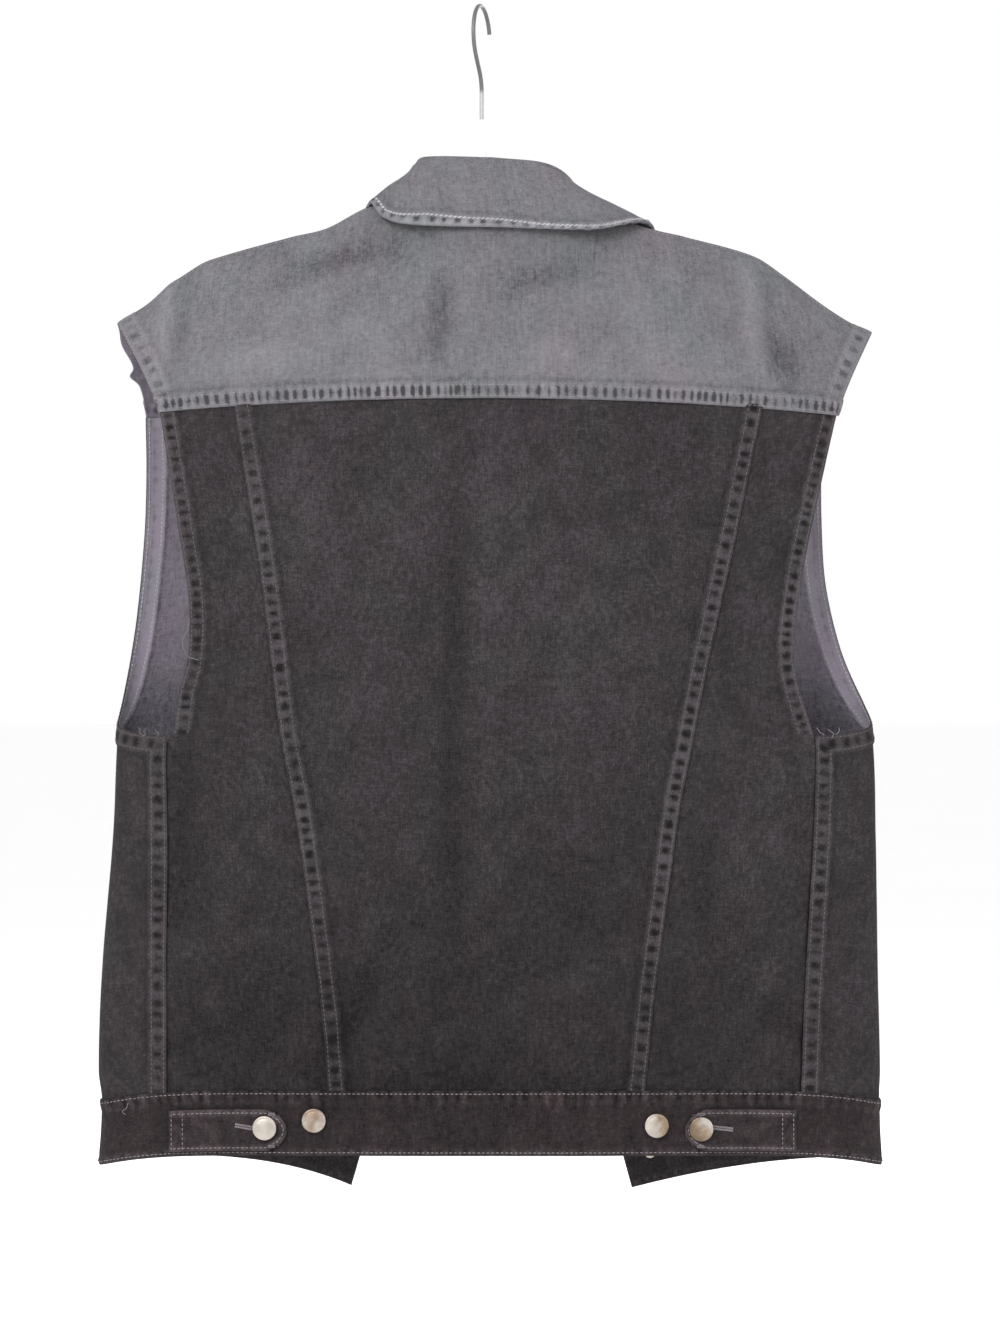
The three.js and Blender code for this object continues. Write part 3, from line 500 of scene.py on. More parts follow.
def run_along(line):
    """Distance from the start of a line to each of its places."""
    return np.concatenate([[0], np.cumsum(np.linalg.norm(np.diff(line, axis=0), axis=1))])


def on_line(at, run, line):
    return np.stack([np.interp(at, run, line[:, axis]) for axis in range(3)], axis=1)


def unit(vectors):
    return vectors / np.maximum(np.linalg.norm(vectors, axis=-1, keepdims=True), 1e-9)


def in_table(rows, key, column, place):
    """Smooth value of one column of a table at places in its key column."""
    keys, values = rows[key], rows[column]
    place = np.clip(place, keys[0], keys[-1])
    row = np.clip(np.searchsorted(keys, place, side="left") - 1, 0, len(keys) - 2)
    before = np.maximum(row - 1, 0)
    after = np.minimum(row + 2, len(keys) - 1)
    span = keys[row + 1] - keys[row]
    part = (place - keys[row]) / span
    low_slope = (values[row + 1] - values[before]) / (keys[row + 1] - keys[before]) * span
    high_slope = (values[after] - values[row]) / (keys[after] - keys[row]) * span
    return hermite(values[row], values[row + 1], low_slope, high_slope, part)


def by_side(side, rows, key, column, place):
    """Value in the left table where side is left, and in the right table elsewhere."""
    return pick(side, *(in_table(rows[each], key, column, place) for each in (LEFT, RIGHT)))


def armhole_turn(side):
    return pick(side, ARMHOLE_TURN[LEFT], ARMHOLE_TURN[RIGHT])


def section(height):
    """Centre, half width, back depth and front depth of the body at a height."""
    left, right, back, front = (
        in_table(BODY, "height", column, height) for column in ("left", "right", "back", "front"))
    return (left + right) / 2, (left - right) / 2, back, front


def on_quarter(half, depth, angle):
    """A place on a quarter section, from the side fold towards the middle of the back or front."""
    across = half * np.maximum(np.cos(angle), 0) ** (2 / 3)
    return across, depth * np.maximum(np.sin(angle), 0) ** (2 / 3)


def quarter_angle(half, across):
    return np.arccos(np.clip(np.abs(across) / half, 0, 1) ** 1.5)


def quarter_lengths(half, depth):
    """Angles round a quarter section, and the length of cloth from the side fold to each."""
    angles = (np.pi / 2) * np.linspace(0, 1, 81) ** 1.5
    half, depth = np.broadcast_arrays(half, depth)
    across, out = on_quarter(half[..., None], depth[..., None], angles)
    runs = np.hypot(np.diff(across), np.diff(out))
    start = np.zeros(runs.shape[:-1] + (1,))
    return np.broadcast_to(angles, across.shape), np.concatenate([start, np.cumsum(runs, -1)], -1)


def matched(keys, values, place):
    """Value at each place, where every place has keys and values of its own on the last axis."""
    row = np.clip((keys < place[..., None]).sum(-1) - 1, 0, keys.shape[-1] - 2)[..., None]
    low, high = np.take_along_axis(keys, row, -1), np.take_along_axis(keys, row + 1, -1)
    part = (place[..., None] - low) / (high - low)
    start, stop = np.take_along_axis(values, row, -1), np.take_along_axis(values, row + 1, -1)
    return lerp(start, stop, np.clip(part, 0, 1))[..., 0]


def reach_of(x, height, is_back):
    """Length of cloth from the side fold to a place: above 0 on the back, below 0 on the front."""
    centre, half, back, front = section(height)
    angles, lengths = quarter_lengths(half, back if is_back else front)
    angle = quarter_angle(half, x - centre)
    angle, _ = np.broadcast_arrays(angle, lengths[..., 0])
    return matched(angles, lengths, angle) * (1 if is_back else -1)


def relief(folds, x, height):
    """Height of the folds of a table over the smooth cloth."""
    rise = 0
    for at_x, at_height, lean, long, wide, high in zip(*folds.values()):
        across, up = x - at_x, height - at_height
        beside = across * np.cos(lean) + up * np.sin(lean)
        lengthwise = up * np.cos(lean) - across * np.sin(lean)
        rise = rise + high * np.exp(-((beside / wide) ** 2) - (lengthwise / long) ** 4)
    return rise


def patches(rows, x, height):
    """Change of tone from the paler and darker places of a table."""
    tone = 0
    for at_x, at_height, wide, tall, change in zip(*rows.values()):
        tone = tone + change * np.exp(-((x - at_x) / wide) ** 2 - ((height - at_height) / tall) ** 2)
    return tone


def hem_sink(side, share, is_back, height):
    """How the hem hangs lower at the sides of the back, and on the front towards the opening."""
    fade = np.where(height < BAND_TOP, 1, np.clip(1 - (height - BAND_TOP) / (SINK_TOP - BAND_TOP), 0, 1) ** 2)
    extra, power = (pick(side, *each) for each in zip(FRONT_SINK[LEFT], FRONT_SINK[RIGHT]))
    end = (OPENING_NECK + OPENING_SPREAD) / FRONT_HALF
    front = HEM_SINK + extra * np.clip((1 - share) / (1 - end), 0, 1.2) ** power
    return -np.where(is_back, HEM_SINK * share ** SINK_BACK_POWER, front) * fade


def body_at(side, angle, height, is_back):
    """The cloth of the body, by the angle round a section."""
    centre, half, back, front = section(height)
    depth = np.where(is_back, back, front)
    across, out = on_quarter(half, depth, angle)
    start = np.minimum(angle, np.pi / 2 - 0.01)
    start_across, start_out = on_quarter(half, depth, start)
    near_across, near_out = on_quarter(half, depth, start + 0.01)
    flatness = (start_across - near_across) / np.hypot(start_across - near_across, near_out - start_out)
    x = centre + side * across
    folds = np.where(is_back, relief(BACK_FOLDS, x, height), relief(FRONT_FOLDS, x, height))
    level = HEM_LEVEL + height + hem_sink(side, across / half, is_back, height)
    return stack(x, np.where(is_back, 1, -1) * (out + folds * np.clip(flatness, 0, 1)), level)


def body_face(x, height, is_back):
    """The cloth of the back or the front, by x and height."""
    centre, half, _, _ = section(height)
    return body_at(np.where(x > centre, LEFT, RIGHT), quarter_angle(half, x - centre), height, is_back)


def body_round(side, reach, height):
    """The cloth at a reach from the side fold, above 0 on the back and below 0 on the front."""
    _, half, back, front = section(height)
    is_back = reach > 0
    angles, lengths = quarter_lengths(half, np.where(is_back, back, front))
    reach, _ = np.broadcast_arrays(np.abs(reach), lengths[..., 0])
    return body_at(side, matched(lengths, angles, reach), height, is_back)


def seam_height(x):
    return SEAM_MIDDLE - SEAM_FALL * (x / SEAM_REACH) ** 2


def opening_edge(side, height):
    """x of the edge of the front opening, which spreads towards the hem."""
    return OPENING_CENTRE + side * (OPENING_NECK + OPENING_SPREAD * (1 - height / NECK_FRONT) ** 2)


def placket_edge(side, height):
    return opening_edge(side, height) + side * PLACKET_WIDE


def ridge_height(side, x):
    return by_side(side, RIDGE, "out", "height", np.abs(x))


def neck_x(side):
    return NECK_CENTRE + side * NECK_HALF


def tip_x(side):
    return side * pick(side, RIDGE[LEFT]["out"][-1], RIDGE[RIGHT]["out"][-1])


def back_panel(right_seam, left_seam):
    """Surface of a back panel between two seams of the table."""
    def surface(u, v):
        level = lerp(BAND_TOP + SEAM_GAP / 2, SEAM_MIDDLE - 6, v)
        right = in_table(BACK_SEAMS, "height", right_seam, level) + SEAM_GAP / 2
        left = in_table(BACK_SEAMS, "height", left_seam, level) - SEAM_GAP / 2
        x = lerp(right, left, u)
        return body_face(x, lerp(BAND_TOP + SEAM_GAP / 2, seam_height(x) - SEAM_GAP / 2, v), True)
    return surface


def front_edge(side, v):
    """Outer edge of a front panel: up the side seam, then round the armhole."""
    share = np.minimum(v / SIDE_SEAM_SHARE, 1)
    seam_level = lerp(BAND_TOP + SEAM_GAP / 2, UNDERARM, share)
    column = "outer_left" if side > 0 else "outer_right"
    seam_x = in_table(BACK_SEAMS, "height", column, np.minimum(seam_level, SEAM_TURN)) + side * SEAM_GAP / 2
    seam_reach = reach_of(seam_x, seam_level, True)
    step = np.clip((v - SIDE_SEAM_SHARE) / (1 - SIDE_SEAM_SHARE), 0, 1)
    hole_reach = in_table(ARMHOLE, "step", "reach", step)
    hole_reach = hole_reach * np.where(hole_reach > 0, seam_reach / ARMHOLE["reach"][0], armhole_turn(side))
    on_seam = v <= SIDE_SEAM_SHARE
    reach = np.where(on_seam, seam_reach, hole_reach)
    height = np.where(on_seam, seam_level, in_table(ARMHOLE, "step", "height", step) - SEAM_GAP / 2)
    hole_level = in_table(ARMHOLE, "step", "level", step) - SEAM_GAP / 2
    level = np.where(on_seam, lerp(BAND_TOP + SEAM_GAP / 2, ARMHOLE["level"][0], share), hole_level)
    return reach, height, level


def front_panel(side):
    def surface(u, v):
        reach, height, level = front_edge(side, v)
        inner = reach_of(placket_edge(side, level) + side * SEAM_GAP, level, False)
        return body_round(side, lerp(reach, inner, u), lerp(height, level, u))
    return surface


def yoke_bend(foot, top, part):
    """Shoulder cloth bends from its seam up to the ridge that lies on the hanger."""
    openness = np.minimum(np.abs(top[..., 1]) / NECK_BACK_DEPTH, 1)
    power = lerp(1 / YOKE_ROUND, 1, openness)
    above = np.maximum(part, 0)
    bulge = np.maximum(1 - above ** YOKE_ROUND, 0) ** power
    x = lerp(foot[..., 0], top[..., 0], above ** YOKE_FLARE)
    return stack(x, lerp(top[..., 1], foot[..., 1], bulge), lerp(foot[..., 2], top[..., 2], part))


def neckline(side, along):
    """The neckline from the middle of the back round to the front opening."""
    turn = np.minimum(along, 0.5) * np.pi
    x = NECK_CENTRE + side * NECK_HALF * np.sin(turn)
    height = lerp(NECK_BACK, ridge_height(side, neck_x(side)), np.sin(turn) ** 2)
    back = stack(x, NECK_BACK_DEPTH * np.cos(turn), HEM_LEVEL + height)
    part = lerp(1, front_neck_part(side), 2 * np.clip(along - 0.5, 0, 0.5))
    shoulder = front_yoke(side)(1, part)
    front = placket(side)(1 - np.maximum(along - 1, 0) * PLACKET_RUN, 1)
    past = along[..., None]
    return np.where(past <= 0.5, back, np.where(past <= 1, shoulder, front))


def back_yoke(u, v):
    side = np.where(u < 0.5, RIGHT, LEFT)
    from_tip = np.minimum(u, 1 - u)
    x = lerp(tip_x(side), neck_x(side), np.minimum(from_tip / SHOULDER_SHARE, 1))
    shoulder = stack(x, -SEAM_GAP * 2, HEM_LEVEL + ridge_height(side, x) + SEAM_GAP)
    along = 0.5 * (0.5 - from_tip) / (0.5 - SHOULDER_SHARE)
    neck = neckline(side, np.clip(along, 0, 0.5))
    top = np.where((from_tip < SHOULDER_SHARE)[..., None], shoulder, neck)
    seam_end = pick(top[..., 0], BACK_SEAMS["outer_left"][-1], BACK_SEAMS["outer_right"][-1])
    foot_x = top[..., 0] * seam_end / tip_x(pick(top[..., 0], LEFT, RIGHT))
    foot = body_face(foot_x, seam_height(foot_x) + SEAM_GAP / 2, True)
    return yoke_bend(foot, top, v)


def front_neck_part(side):
    return (NECK_FRONT - SEAM_MIDDLE) / (ridge_height(side, neck_x(side)) - SEAM_MIDDLE)


def front_yoke(side):
    """Front yoke, from the armhole to the placket and neckline."""
    reach, height = ARMHOLE["reach"][-1] * armhole_turn(side), ARMHOLE["height"][-1]

    def surface(u, v):
        armhole_foot = body_round(side, np.array(reach), np.array(height + SEAM_GAP / 2))
        placket_x = placket_edge(side, SEAM_MIDDLE) + side * SEAM_GAP
        foot_x = lerp(armhole_foot[..., 0], placket_x, u)
        foot_height = lerp(height, seam_height(PLACKET_SEAM_X), u) + SEAM_GAP / 2
        foot = body_face(foot_x, foot_height, False)
        top_x = lerp(tip_x(side), neck_x(side), u)
        top = stack(top_x, -SEAM_GAP / 2, HEM_LEVEL + ridge_height(side, top_x))
        bent = yoke_bend(foot, top, v)
        neck_part = front_neck_part(side)
        necked = np.clip((v - neck_part) / (1 - neck_part), 0, 1) ** 2
        inner_x = lerp(placket_x, neck_x(side), necked)
        outer_x = lerp(armhole_foot[..., 0], tip_x(side), np.maximum(v, 0) ** YOKE_FLARE)
        return stack(lerp(outer_x, inner_x, u), bent[..., 1], bent[..., 2])
    return surface


def placket(side):
    """Placket, from its free edge to the panel and from the waistband to the neckline."""
    def surface(u, v):
        top = NECK_FRONT - NECK_FRONT_DIP * (1 - u)
        height = lerp(BAND_TOP + SEAM_GAP / 2, top, v)
        x = lerp(opening_edge(side, height), placket_edge(side, height), u)
        seam = seam_height(PLACKET_SEAM_X)
        low = body_face(x, np.minimum(height, seam), False)
        part = np.clip((height - seam) / (ridge_height(side, neck_x(side)) - seam), 0, 1)
        y = low[..., 1] * (1 - part ** YOKE_ROUND) ** (1 / YOKE_ROUND)
        level = np.where(height <= seam, low[..., 2], HEM_LEVEL + height)
        return stack(x, y, level)
    return surface


def waistband(u, v):
    """Waistband, from its right front end round the back to its left front end."""
    side = np.where(u < 0.5, RIGHT, LEFT)
    height = lerp(0, BAND_TOP - SEAM_GAP / 2, v)
    end = reach_of(opening_edge(side, height), height, False)
    middle = reach_of(section(height)[0], height, True)
    return body_round(side, lerp(end, middle, 1 - 2 * np.abs(u - 0.5)), height)


def lifted(x, height, is_back, lift):
    """A place above a face of the body, and the face's normal there."""
    small = 0.5
    across = body_face(x + small, height, is_back) - body_face(x - small, height, is_back)
    up = body_face(x, height + small, is_back) - body_face(x, height - small, is_back)
    normal = np.cross(up, across) * (1 if is_back else -1)
    normal /= np.linalg.norm(normal, axis=-1, keepdims=True)
    return body_face(x, height, is_back) + normal * lift, normal


def tab(side):
    """Tab, from its sewn end to its blunt point and from its lower edge to its upper."""
    size = TABS[side]

    def surface(u, v):
        nose = side * size["nose"] * (2 * v - 1) ** 2
        x = lerp(size["sewn"], size["tip"] + nose, u)
        long = abs(size["sewn"] - size["tip"])
        taper = np.clip((u * long - (long - size["shoulder"])) / size["shoulder"], 0, 1)
        middle = (size["bottom"] + size["top"]) / 2
        height = lerp(lerp(size["bottom"], size["top"], v), middle, 0.3 * taper)
        return lifted(x, height, True, SEAM_GAP + TAB_WALL)[0]
    return surface


def centripetal(points, part):
    """A smooth line through points, which lie along the first axis, at each part of its run."""
    padded = np.concatenate([[2 * points[0] - points[1]], points, [2 * points[-1] - points[-2]]])
    run = part * (len(points) - 1)
    start = np.minimum(run.astype(int), len(points) - 2)
    near = [padded[start + place] for place in range(4)]
    gaps = (np.linalg.norm(near[place + 1] - near[place], axis=-1, keepdims=True) for place in range(3))
    first, middle, last = (gap ** 0.5 for gap in gaps)
    slope = (near[1] - near[0]) / first - (near[2] - near[0]) / (first + middle)
    low_slope = (slope + (near[2] - near[1]) / middle) * middle
    slope = (near[2] - near[1]) / middle - (near[3] - near[1]) / (middle + last)
    high_slope = (slope + (near[3] - near[2]) / last) * middle
    weight = (run - start)[:, None, None]
    return hermite(near[1], near[2], low_slope, high_slope, weight)


def collar(u, v):
    """Collar, from the neckline over its fold to its free edge."""
    u, v = u[:, 0], v[0]
    side = np.where(u < 0.5, RIGHT, LEFT)
    along = COLLAR_REACH * np.abs(2 * u - 1)
    row = {name: by_side(side, COLLAR, "along", name, along) for name in COLLAR_COLUMNS.split()[1:]}
    roll = stack(row["roll_x"], row["roll_y"], HEM_LEVEL + row["roll_up"])
    edge = stack(row["edge_x"], row["edge_y"], HEM_LEVEL + row["edge_up"])
    out = (edge - roll) * (1, 1, 0)
    out /= np.linalg.norm(out, axis=-1, keepdims=True)
    inward = lerp(1, COLLAR_WALL + 0.8, np.clip((along - 0.35) / 0.2, 0, 1))[:, None]
    foot = neckline(side, along) - out * inward + (0, 0, 0.6)
    down = np.array((0, 0, -ROLL_DROP))
    bulge = (out + (0, 0, 1)) * FALL_BULGE * np.abs(out[:, 1:2])
    spine = [
        foot,
        (foot + roll) / 2,
        roll - out * ROLL_HALF + down,
        roll,
        roll + out * ROLL_HALF + down,
        lerp(roll, edge, 0.55) + bulge,
        edge,
    ]
    return centripetal(np.array(spine), v).transpose(1, 0, 2)


# Grids of cloth, with their sewn strips
def spread(length, coarse, fine=(0, 0), past=(0, 0)):
    """Shares of a length, a coarse step apart, but a fine step apart near its ends.

    For the start and the stop, fine is how far the fine steps go and past is how far the shares
    reach past the length.
    """
    start, stop = fine
    middle = np.linspace(start, length - stop, max(round((length - start - stop) / coarse), 1) + 1)
    steps = [np.arange(0, start, FINE_STEP), middle, length - np.arange(0, stop, FINE_STEP)]
    shares = np.unique(np.concatenate(steps).round(3)) / length
    return lerp(-past[0] / length, 1 + past[1] / length, shares)


def nearest_on(line, places):
    """How far each place is from a line, and how far along the line it lies."""
    run = run_along(line)
    dots_run = np.linspace(0, run[-1], int(run[-1] * 2) + 2)
    dots = on_line(dots_run, run, line)
    away, along = [], []
    for part in np.array_split(places.reshape(-1, 3), 16):
        square = (part ** 2).sum(1)[:, None] + (dots ** 2).sum(1) - 2 * part @ dots.T
        nearest = square.argmin(1)
        away.append(np.linalg.norm(part - dots[nearest], axis=1))
        along.append(dots_run[nearest])
    shape = places.shape[:2]
    return np.concatenate(away).reshape(shape), np.concatenate(along).reshape(shape)


def uneven_waves(along, pitch, seed):
    """Uneven crests and troughs along a seam, each between 0 and 1."""
    dice = np.random.default_rng(seed)
    count = int(along.max() / pitch * 1.5) + 6
    knots = np.cumsum(pitch * dice.uniform(0.7, 1.3, count)) - 2 * pitch
    turn = np.interp(along, knots, np.arange(count))
    wave = 0.5 - 0.5 * np.cos(2 * np.pi * turn)
    crest = wave * dice.uniform(0.25, 1, count)[turn.astype(int)]
    trough = (1 - wave) ** 2 * dice.uniform(0.3, 1, count)[np.round(turn).astype(int)]
    return crest, trough


def slow_noise(along, pitch, seed):
    """Smooth noise from 0 to 1 along a line."""
    dice = np.random.default_rng(seed)
    count = int(along.max() / pitch) + 3
    return np.interp(along / pitch, np.arange(count), dice.uniform(0, 1, count))


def ripples(places, size, seed):
    """Soft unevenness of the cloth, between about -1 and 1, from waves that cross at all angles."""
    dice = np.random.default_rng(seed)
    total = 0
    for turn in range(9):
        direction = dice.normal(size=3)
        direction /= np.linalg.norm(direction)
        length = size * dice.uniform(0.7, 1.8)
        total = total + np.sin(2 * np.pi * places @ direction / length + dice.uniform(0, 6.3))
    return total / 4


class Cloth:
    """A piece of cloth as a grid of places on its outer face, with a tone for each place."""

    def __init__(self, surface, columns, rows, facing, grain=0.5):
        self.base = surface(columns[:, None], rows[None, :])
        self.places = self.base.copy()
        self.facing = facing
        self.grain = grain
        self.tone = np.zeros(self.base.shape[:2])
        self.inner = np.zeros(self.base.shape[:2])
        self.edges = {
            "first": self.base[0],
            "last": self.base[-1],
            "bottom": self.base[:, 0],
            "top": self.base[:, -1],
        }
        self.measured = {}

    @property
    def height(self):
        return self.base[..., 2] - HEM_LEVEL

    def normals(self):
        across, up = np.gradient(self.places, axis=0), np.gradient(self.places, axis=1)
        return unit(self.facing * np.cross(up, across))

    def push(self, rise):
        self.places = self.places + self.normals() * np.asarray(rise)[..., None]

    def push_flat(self, rise):
        """Pushes the cloth where it faces the back or front, and not where it bends over a fold."""
        normal = self.normals()
        self.places = self.places + normal * (rise * np.abs(normal[..., 1]) ** 1.5)[..., None]

    def from_edge(self, edge):
        if edge not in self.measured:
            self.measured[edge] = nearest_on(self.edges[edge], self.base)
        return self.measured[edge]

    def fold(self, folds, share=1.0, shade=0.05):
        """Creases from a table, with painted light on their ridges and painted shade in their troughs."""
        rise = relief(folds, self.base[..., 0], self.height) * share
        self.push_flat(rise)
        self.tone += rise * shade
        self.inner -= rise * shade

    def wash_and_fold_shading(self, rows):
        # Patches from washing, with painted light on the ridges of folds and painted shade in their troughs
        self.tone += patches(rows, self.base[..., 0], self.height)

    def crumple(self, size, rise, seed, shade=0.0):
        waves = ripples(self.base, size, seed)
        self.push_flat(waves * rise)
        # The tone follows the ripples: painted light on their crests and painted shade in their hollows
        self.tone += waves * shade

    def gather(self, edge, wide, pitch, seed, share):
        """Short puckers that run away from an edge, with paler ridges and darker troughs."""
        away, along = self.from_edge(edge)
        crest, trough = uneven_waves(along, pitch, seed)
        marks = (crest - trough) * ramp(away, wide * (0.5 + slow_noise(along, pitch, seed + 1)), 2)
        self.push(GATHER_RISE * marks)
        self.tone += share * marks

    def lap(self, edge, wide, pitch, seed, rise=LAP_RISE,
            contrast=1.0, within=None, deep=0.24, pale=1.0):
        """A sewn strip along an edge: raised, puckered, with worn rails, dark blotches of dirt and painted
        shade between, and painted shade at its foot.

        It ends at the heights of within. Puckers take up the share deep of its half width, and pale
        scales its wear.
        """
        pucker = bpy.context.scene.vest_sizes.pucker / MM
        away, along = self.from_edge(edge)
        here = 1
        if within is not None:
            low, high = within
            here = ramp(self.height, low, low + 4) * ramp(self.height, high, high - 4)
        strip = ramp(away, wide + LAP_EDGE, wide)
        rounded = ramp(away, -1.6, 0.8)
        middle = np.exp(-((away - wide / 2) / (wide * deep)) ** 4)
        beyond = ramp(away, wide + 12, wide) * (1 - strip)
        crest, trough = uneven_waves(along, pitch, seed)
        waves = pucker * (crest - 0.7 * trough) * (middle + 0.35 * beyond)
        self.push(here * (strip * rise * rounded + waves))
        patchy = 0.5 + 0.5 * slow_noise(along, pitch * 4, seed + 1)
        rails = bell(away - ROW_INSET, 2) + bell(away - wide + ROW_INSET, 2)
        worn = (MIDDLE_RUB + CREST_RUB * crest) * middle + RAIL_RUB * rails * (0.7 + 0.6 * crest)
        # The troughs between puckers are darkened by dirt and painted shade
        worn = pale * worn - TROUGH_DIRT_AND_SHADE * ramp(trough, 0.1, 0.5) * middle
        # Painted shade in the corner at the foot of the strip, where it steps down to the cloth beside it
        foot = bell(away - wide - 2.4, 2)
        change = here * contrast * (patchy * worn - FOOT_SHADE * foot)
        self.tone += change
        self.inner += 0.5 * change

    def raise_edge(self, edge, rise, wide):
        """Lifts the cloth along an edge that lies over the next piece."""
        away, _ = self.from_edge(edge)
        self.push(rise * ramp(away, wide, 1))

    def shadow(self, edge, wide=2.2, share=0.36, below=None):
        """Painted shadow in the corner beside a strip that laps over this edge."""
        away, along = self.from_edge(edge)
        here = 1 if below is None else ramp(self.height, below, below - 6)
        depth = share * (0.6 + 0.4 * slow_noise(along, 30, 9))
        self.tone -= here * depth * bell(away, wide)

    def worn_edge(self, edge, share=0.22, wide=1.6, seed=3):
        """An edge rubbed pale, unevenly."""
        away, along = self.from_edge(edge)
        rub = bell(away, wide) * (0.4 + 0.6 * slow_noise(along, 11, seed))
        self.push(-0.5 * bell(away, 1.1))
        self.tone += share * rub

    def line_shade(self, edge, inset, wide, change):
        """A darker or paler line along an edge."""
        away, _ = self.from_edge(edge)
        self.tone += change * bell(away - inset, wide)

    def inner_hem(self, edge, wide, low, seed):
        """The turned hem of an edge on the inner side: pale and worn, between two dark lines, with painted
        shade on the inner face beside it, deepest at the height low and below.
        """
        away, along = self.from_edge(edge)
        here = ramp(self.height, low, low + 6)
        worn = 0.6 + 0.4 * slow_noise(along, 14, seed)
        band = INNER_PALE * ramp(away, wide + 1, wide - 1) * worn
        dark = sum(bell(away - place, 0.9) for place in (wide * 0.45, wide + 1.4))
        shade = INNER_SHADE * ramp(self.height, low + 100, low) * ramp(away, wide, wide + 6)
        self.inner += here * (band - INNER_LINES * dark) - shade

    def flare(self, edge, height, wide, out):
        """Turns a short part of an edge outward, away from the middle of the garment."""
        away, _ = self.from_edge(edge)
        part = bell(away, 7) * bell(self.height - height, wide)
        self.places[..., 0] += np.sign(self.base[..., 0]) * out * part

    def at(self, x, height):
        """The worn face and its normal nearest to places given by x and height."""
        x, height = np.broadcast_arrays(x, height)
        flat = self.base[..., (0, 2)].reshape(-1, 2)
        wanted = np.stack([x, height + HEM_LEVEL], axis=-1)
        nearest = ((flat[None] - wanted[:, None]) ** 2).sum(-1).argmin(1)
        place = self.places.reshape(-1, 3)[nearest]
        place[:, 0], place[:, 2] = x, height + HEM_LEVEL
        return place, self.normals().reshape(-1, 3)[nearest]

    def slit(self, start, stop):
        """A slit in the cloth between two places, shown only as a line of painted shade."""
        run = np.array(stop, float) - start
        offset = np.stack([self.base[..., 0], self.height], axis=-1) - start
        part = np.clip(offset @ run / (run @ run), 0, 1)
        away = np.linalg.norm(offset - part[..., None] * run, axis=-1)
        self.tone -= SLIT_DARK * bell(away, 1.3)

    def line(self, edge, inset, low=None, high=None, trim=0):
        """Places and normals of a line that runs at an inset from an edge."""
        away, _ = self.from_edge(edge)
        grids = [away[..., None], self.places, self.normals()]
        if edge in ("bottom", "top"):
            grids = [grid.transpose(1, 0, 2) for grid in grids]
        if edge in ("last", "top"):
            grids = [grid[::-1] for grid in grids]
        away, places, normals = grids
        stop = np.maximum((away[..., 0] >= inset).argmax(axis=0), 1)
        each = np.arange(len(stop))
        inset = np.broadcast_to(inset, stop.shape)[:, None]
        part = (inset - away[stop - 1, each]) / (away[stop, each] - away[stop - 1, each])
        part = np.clip(part, 0, 1)
        line = lerp(places[stop - 1, each], places[stop, each], part)
        normal = lerp(normals[stop - 1, each], normals[stop, each], part)
        height = line[:, 2] - HEM_LEVEL
        keep = np.ones(len(line), bool)
        if low is not None:
            keep &= height > low
        if high is not None:
            keep &= height < high
        line, normal = line[keep], normal[keep]
        if trim:
            run = run_along(line)
            inside = (run > trim) & (run < run[-1] - trim)
            line, normal = line[inside], normal[inside]
        return line, normal

    def lines(self, edges, insets, **limits):
        """A line for each inset from each edge, as rows for stitches."""
        return [self.line(edge, inset, **limits) for edge in edges for inset in insets]


def made_mesh(name, maker, *finishes):
    """The smooth mesh of a finished bmesh, with its finishes."""
    mesh = bpy.data.meshes.new(name)
    maker.to_mesh(mesh)
    maker.free()
    for each in finishes:
        mesh.materials.append(finish(each))
    mesh.shade_smooth()
    return mesh


def cloth_piece(name, cloth, wall, outside, inside="wrong_side_denim"):
    """A thin piece of cloth on its solid's form, with its wrong side inside."""
    columns, rows = cloth.tone.shape
    maker = bmesh.new()
    bmesh.ops.create_grid(maker, x_segments=columns - 1, y_segments=rows - 1, size=0.5)
    mesh = made_mesh(name, maker, outside, inside)
    mesh.vertices.foreach_set("co", (cloth.places.transpose(1, 0, 2) * MM).ravel())
    if cloth.facing > 0:
        mesh.flip_normals()
    add_cloth_map(mesh, cloth)
    for label, tone in (("tone", cloth.tone), ("inner", cloth.inner)):
        mesh.attributes.new(label, "FLOAT", "POINT").data.foreach_set("value", tone.T.ravel())
    piece = add_piece(name + "_cloth", mesh, CLOTH_SLOTS[outside], name)
    wall_maker = piece.modifiers.new("wall", "SOLIDIFY")
    wall_maker.thickness = wall * MM
    wall_maker.offset = -1
    wall_maker.material_offset = 1


def add_cloth_map(mesh, cloth):
    """A map in metres that follows the threads of the cloth, for its weave."""
    across = np.linalg.norm(np.diff(cloth.base, axis=0, prepend=cloth.base[:1]), axis=-1).cumsum(axis=0)
    up = np.linalg.norm(np.diff(cloth.base, axis=1, prepend=cloth.base[:, :1]), axis=-1).cumsum(axis=1)
    across = across - lerp(across[:1], across[-1:], cloth.grain)
    flat = np.stack([across.T.ravel(), up.T.ravel()], axis=1) * MM
    corners = np.empty(len(mesh.loops), int)
    mesh.loops.foreach_get("vertex_index", corners)
    layer = mesh.uv_layers.new(name="cloth")
    layer.data.foreach_set("uv", flat[corners].ravel())


def add_object(name, data):
    made = bpy.data.objects.new(name, data)
    bpy.context.scene.collection.objects.link(made)
    return made


def add_piece(name, mesh, slot, *nodes):
    piece = add_object(name, mesh)
    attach(piece, "root")
    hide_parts(*nodes)
    return piece


# Sewing
def walk(line, normals, pitch):
    """Places, directions and normals an even pitch apart along a line."""
    run = run_along(line)
    at = np.arange(pitch / 2, run[-1], pitch)
    ahead, behind = (on_line(at + shift, run, line) for shift in (pitch / 2, -pitch / 2))
    return on_line(at, run, line), unit(ahead - behind), unit(on_line(at, run, normals))


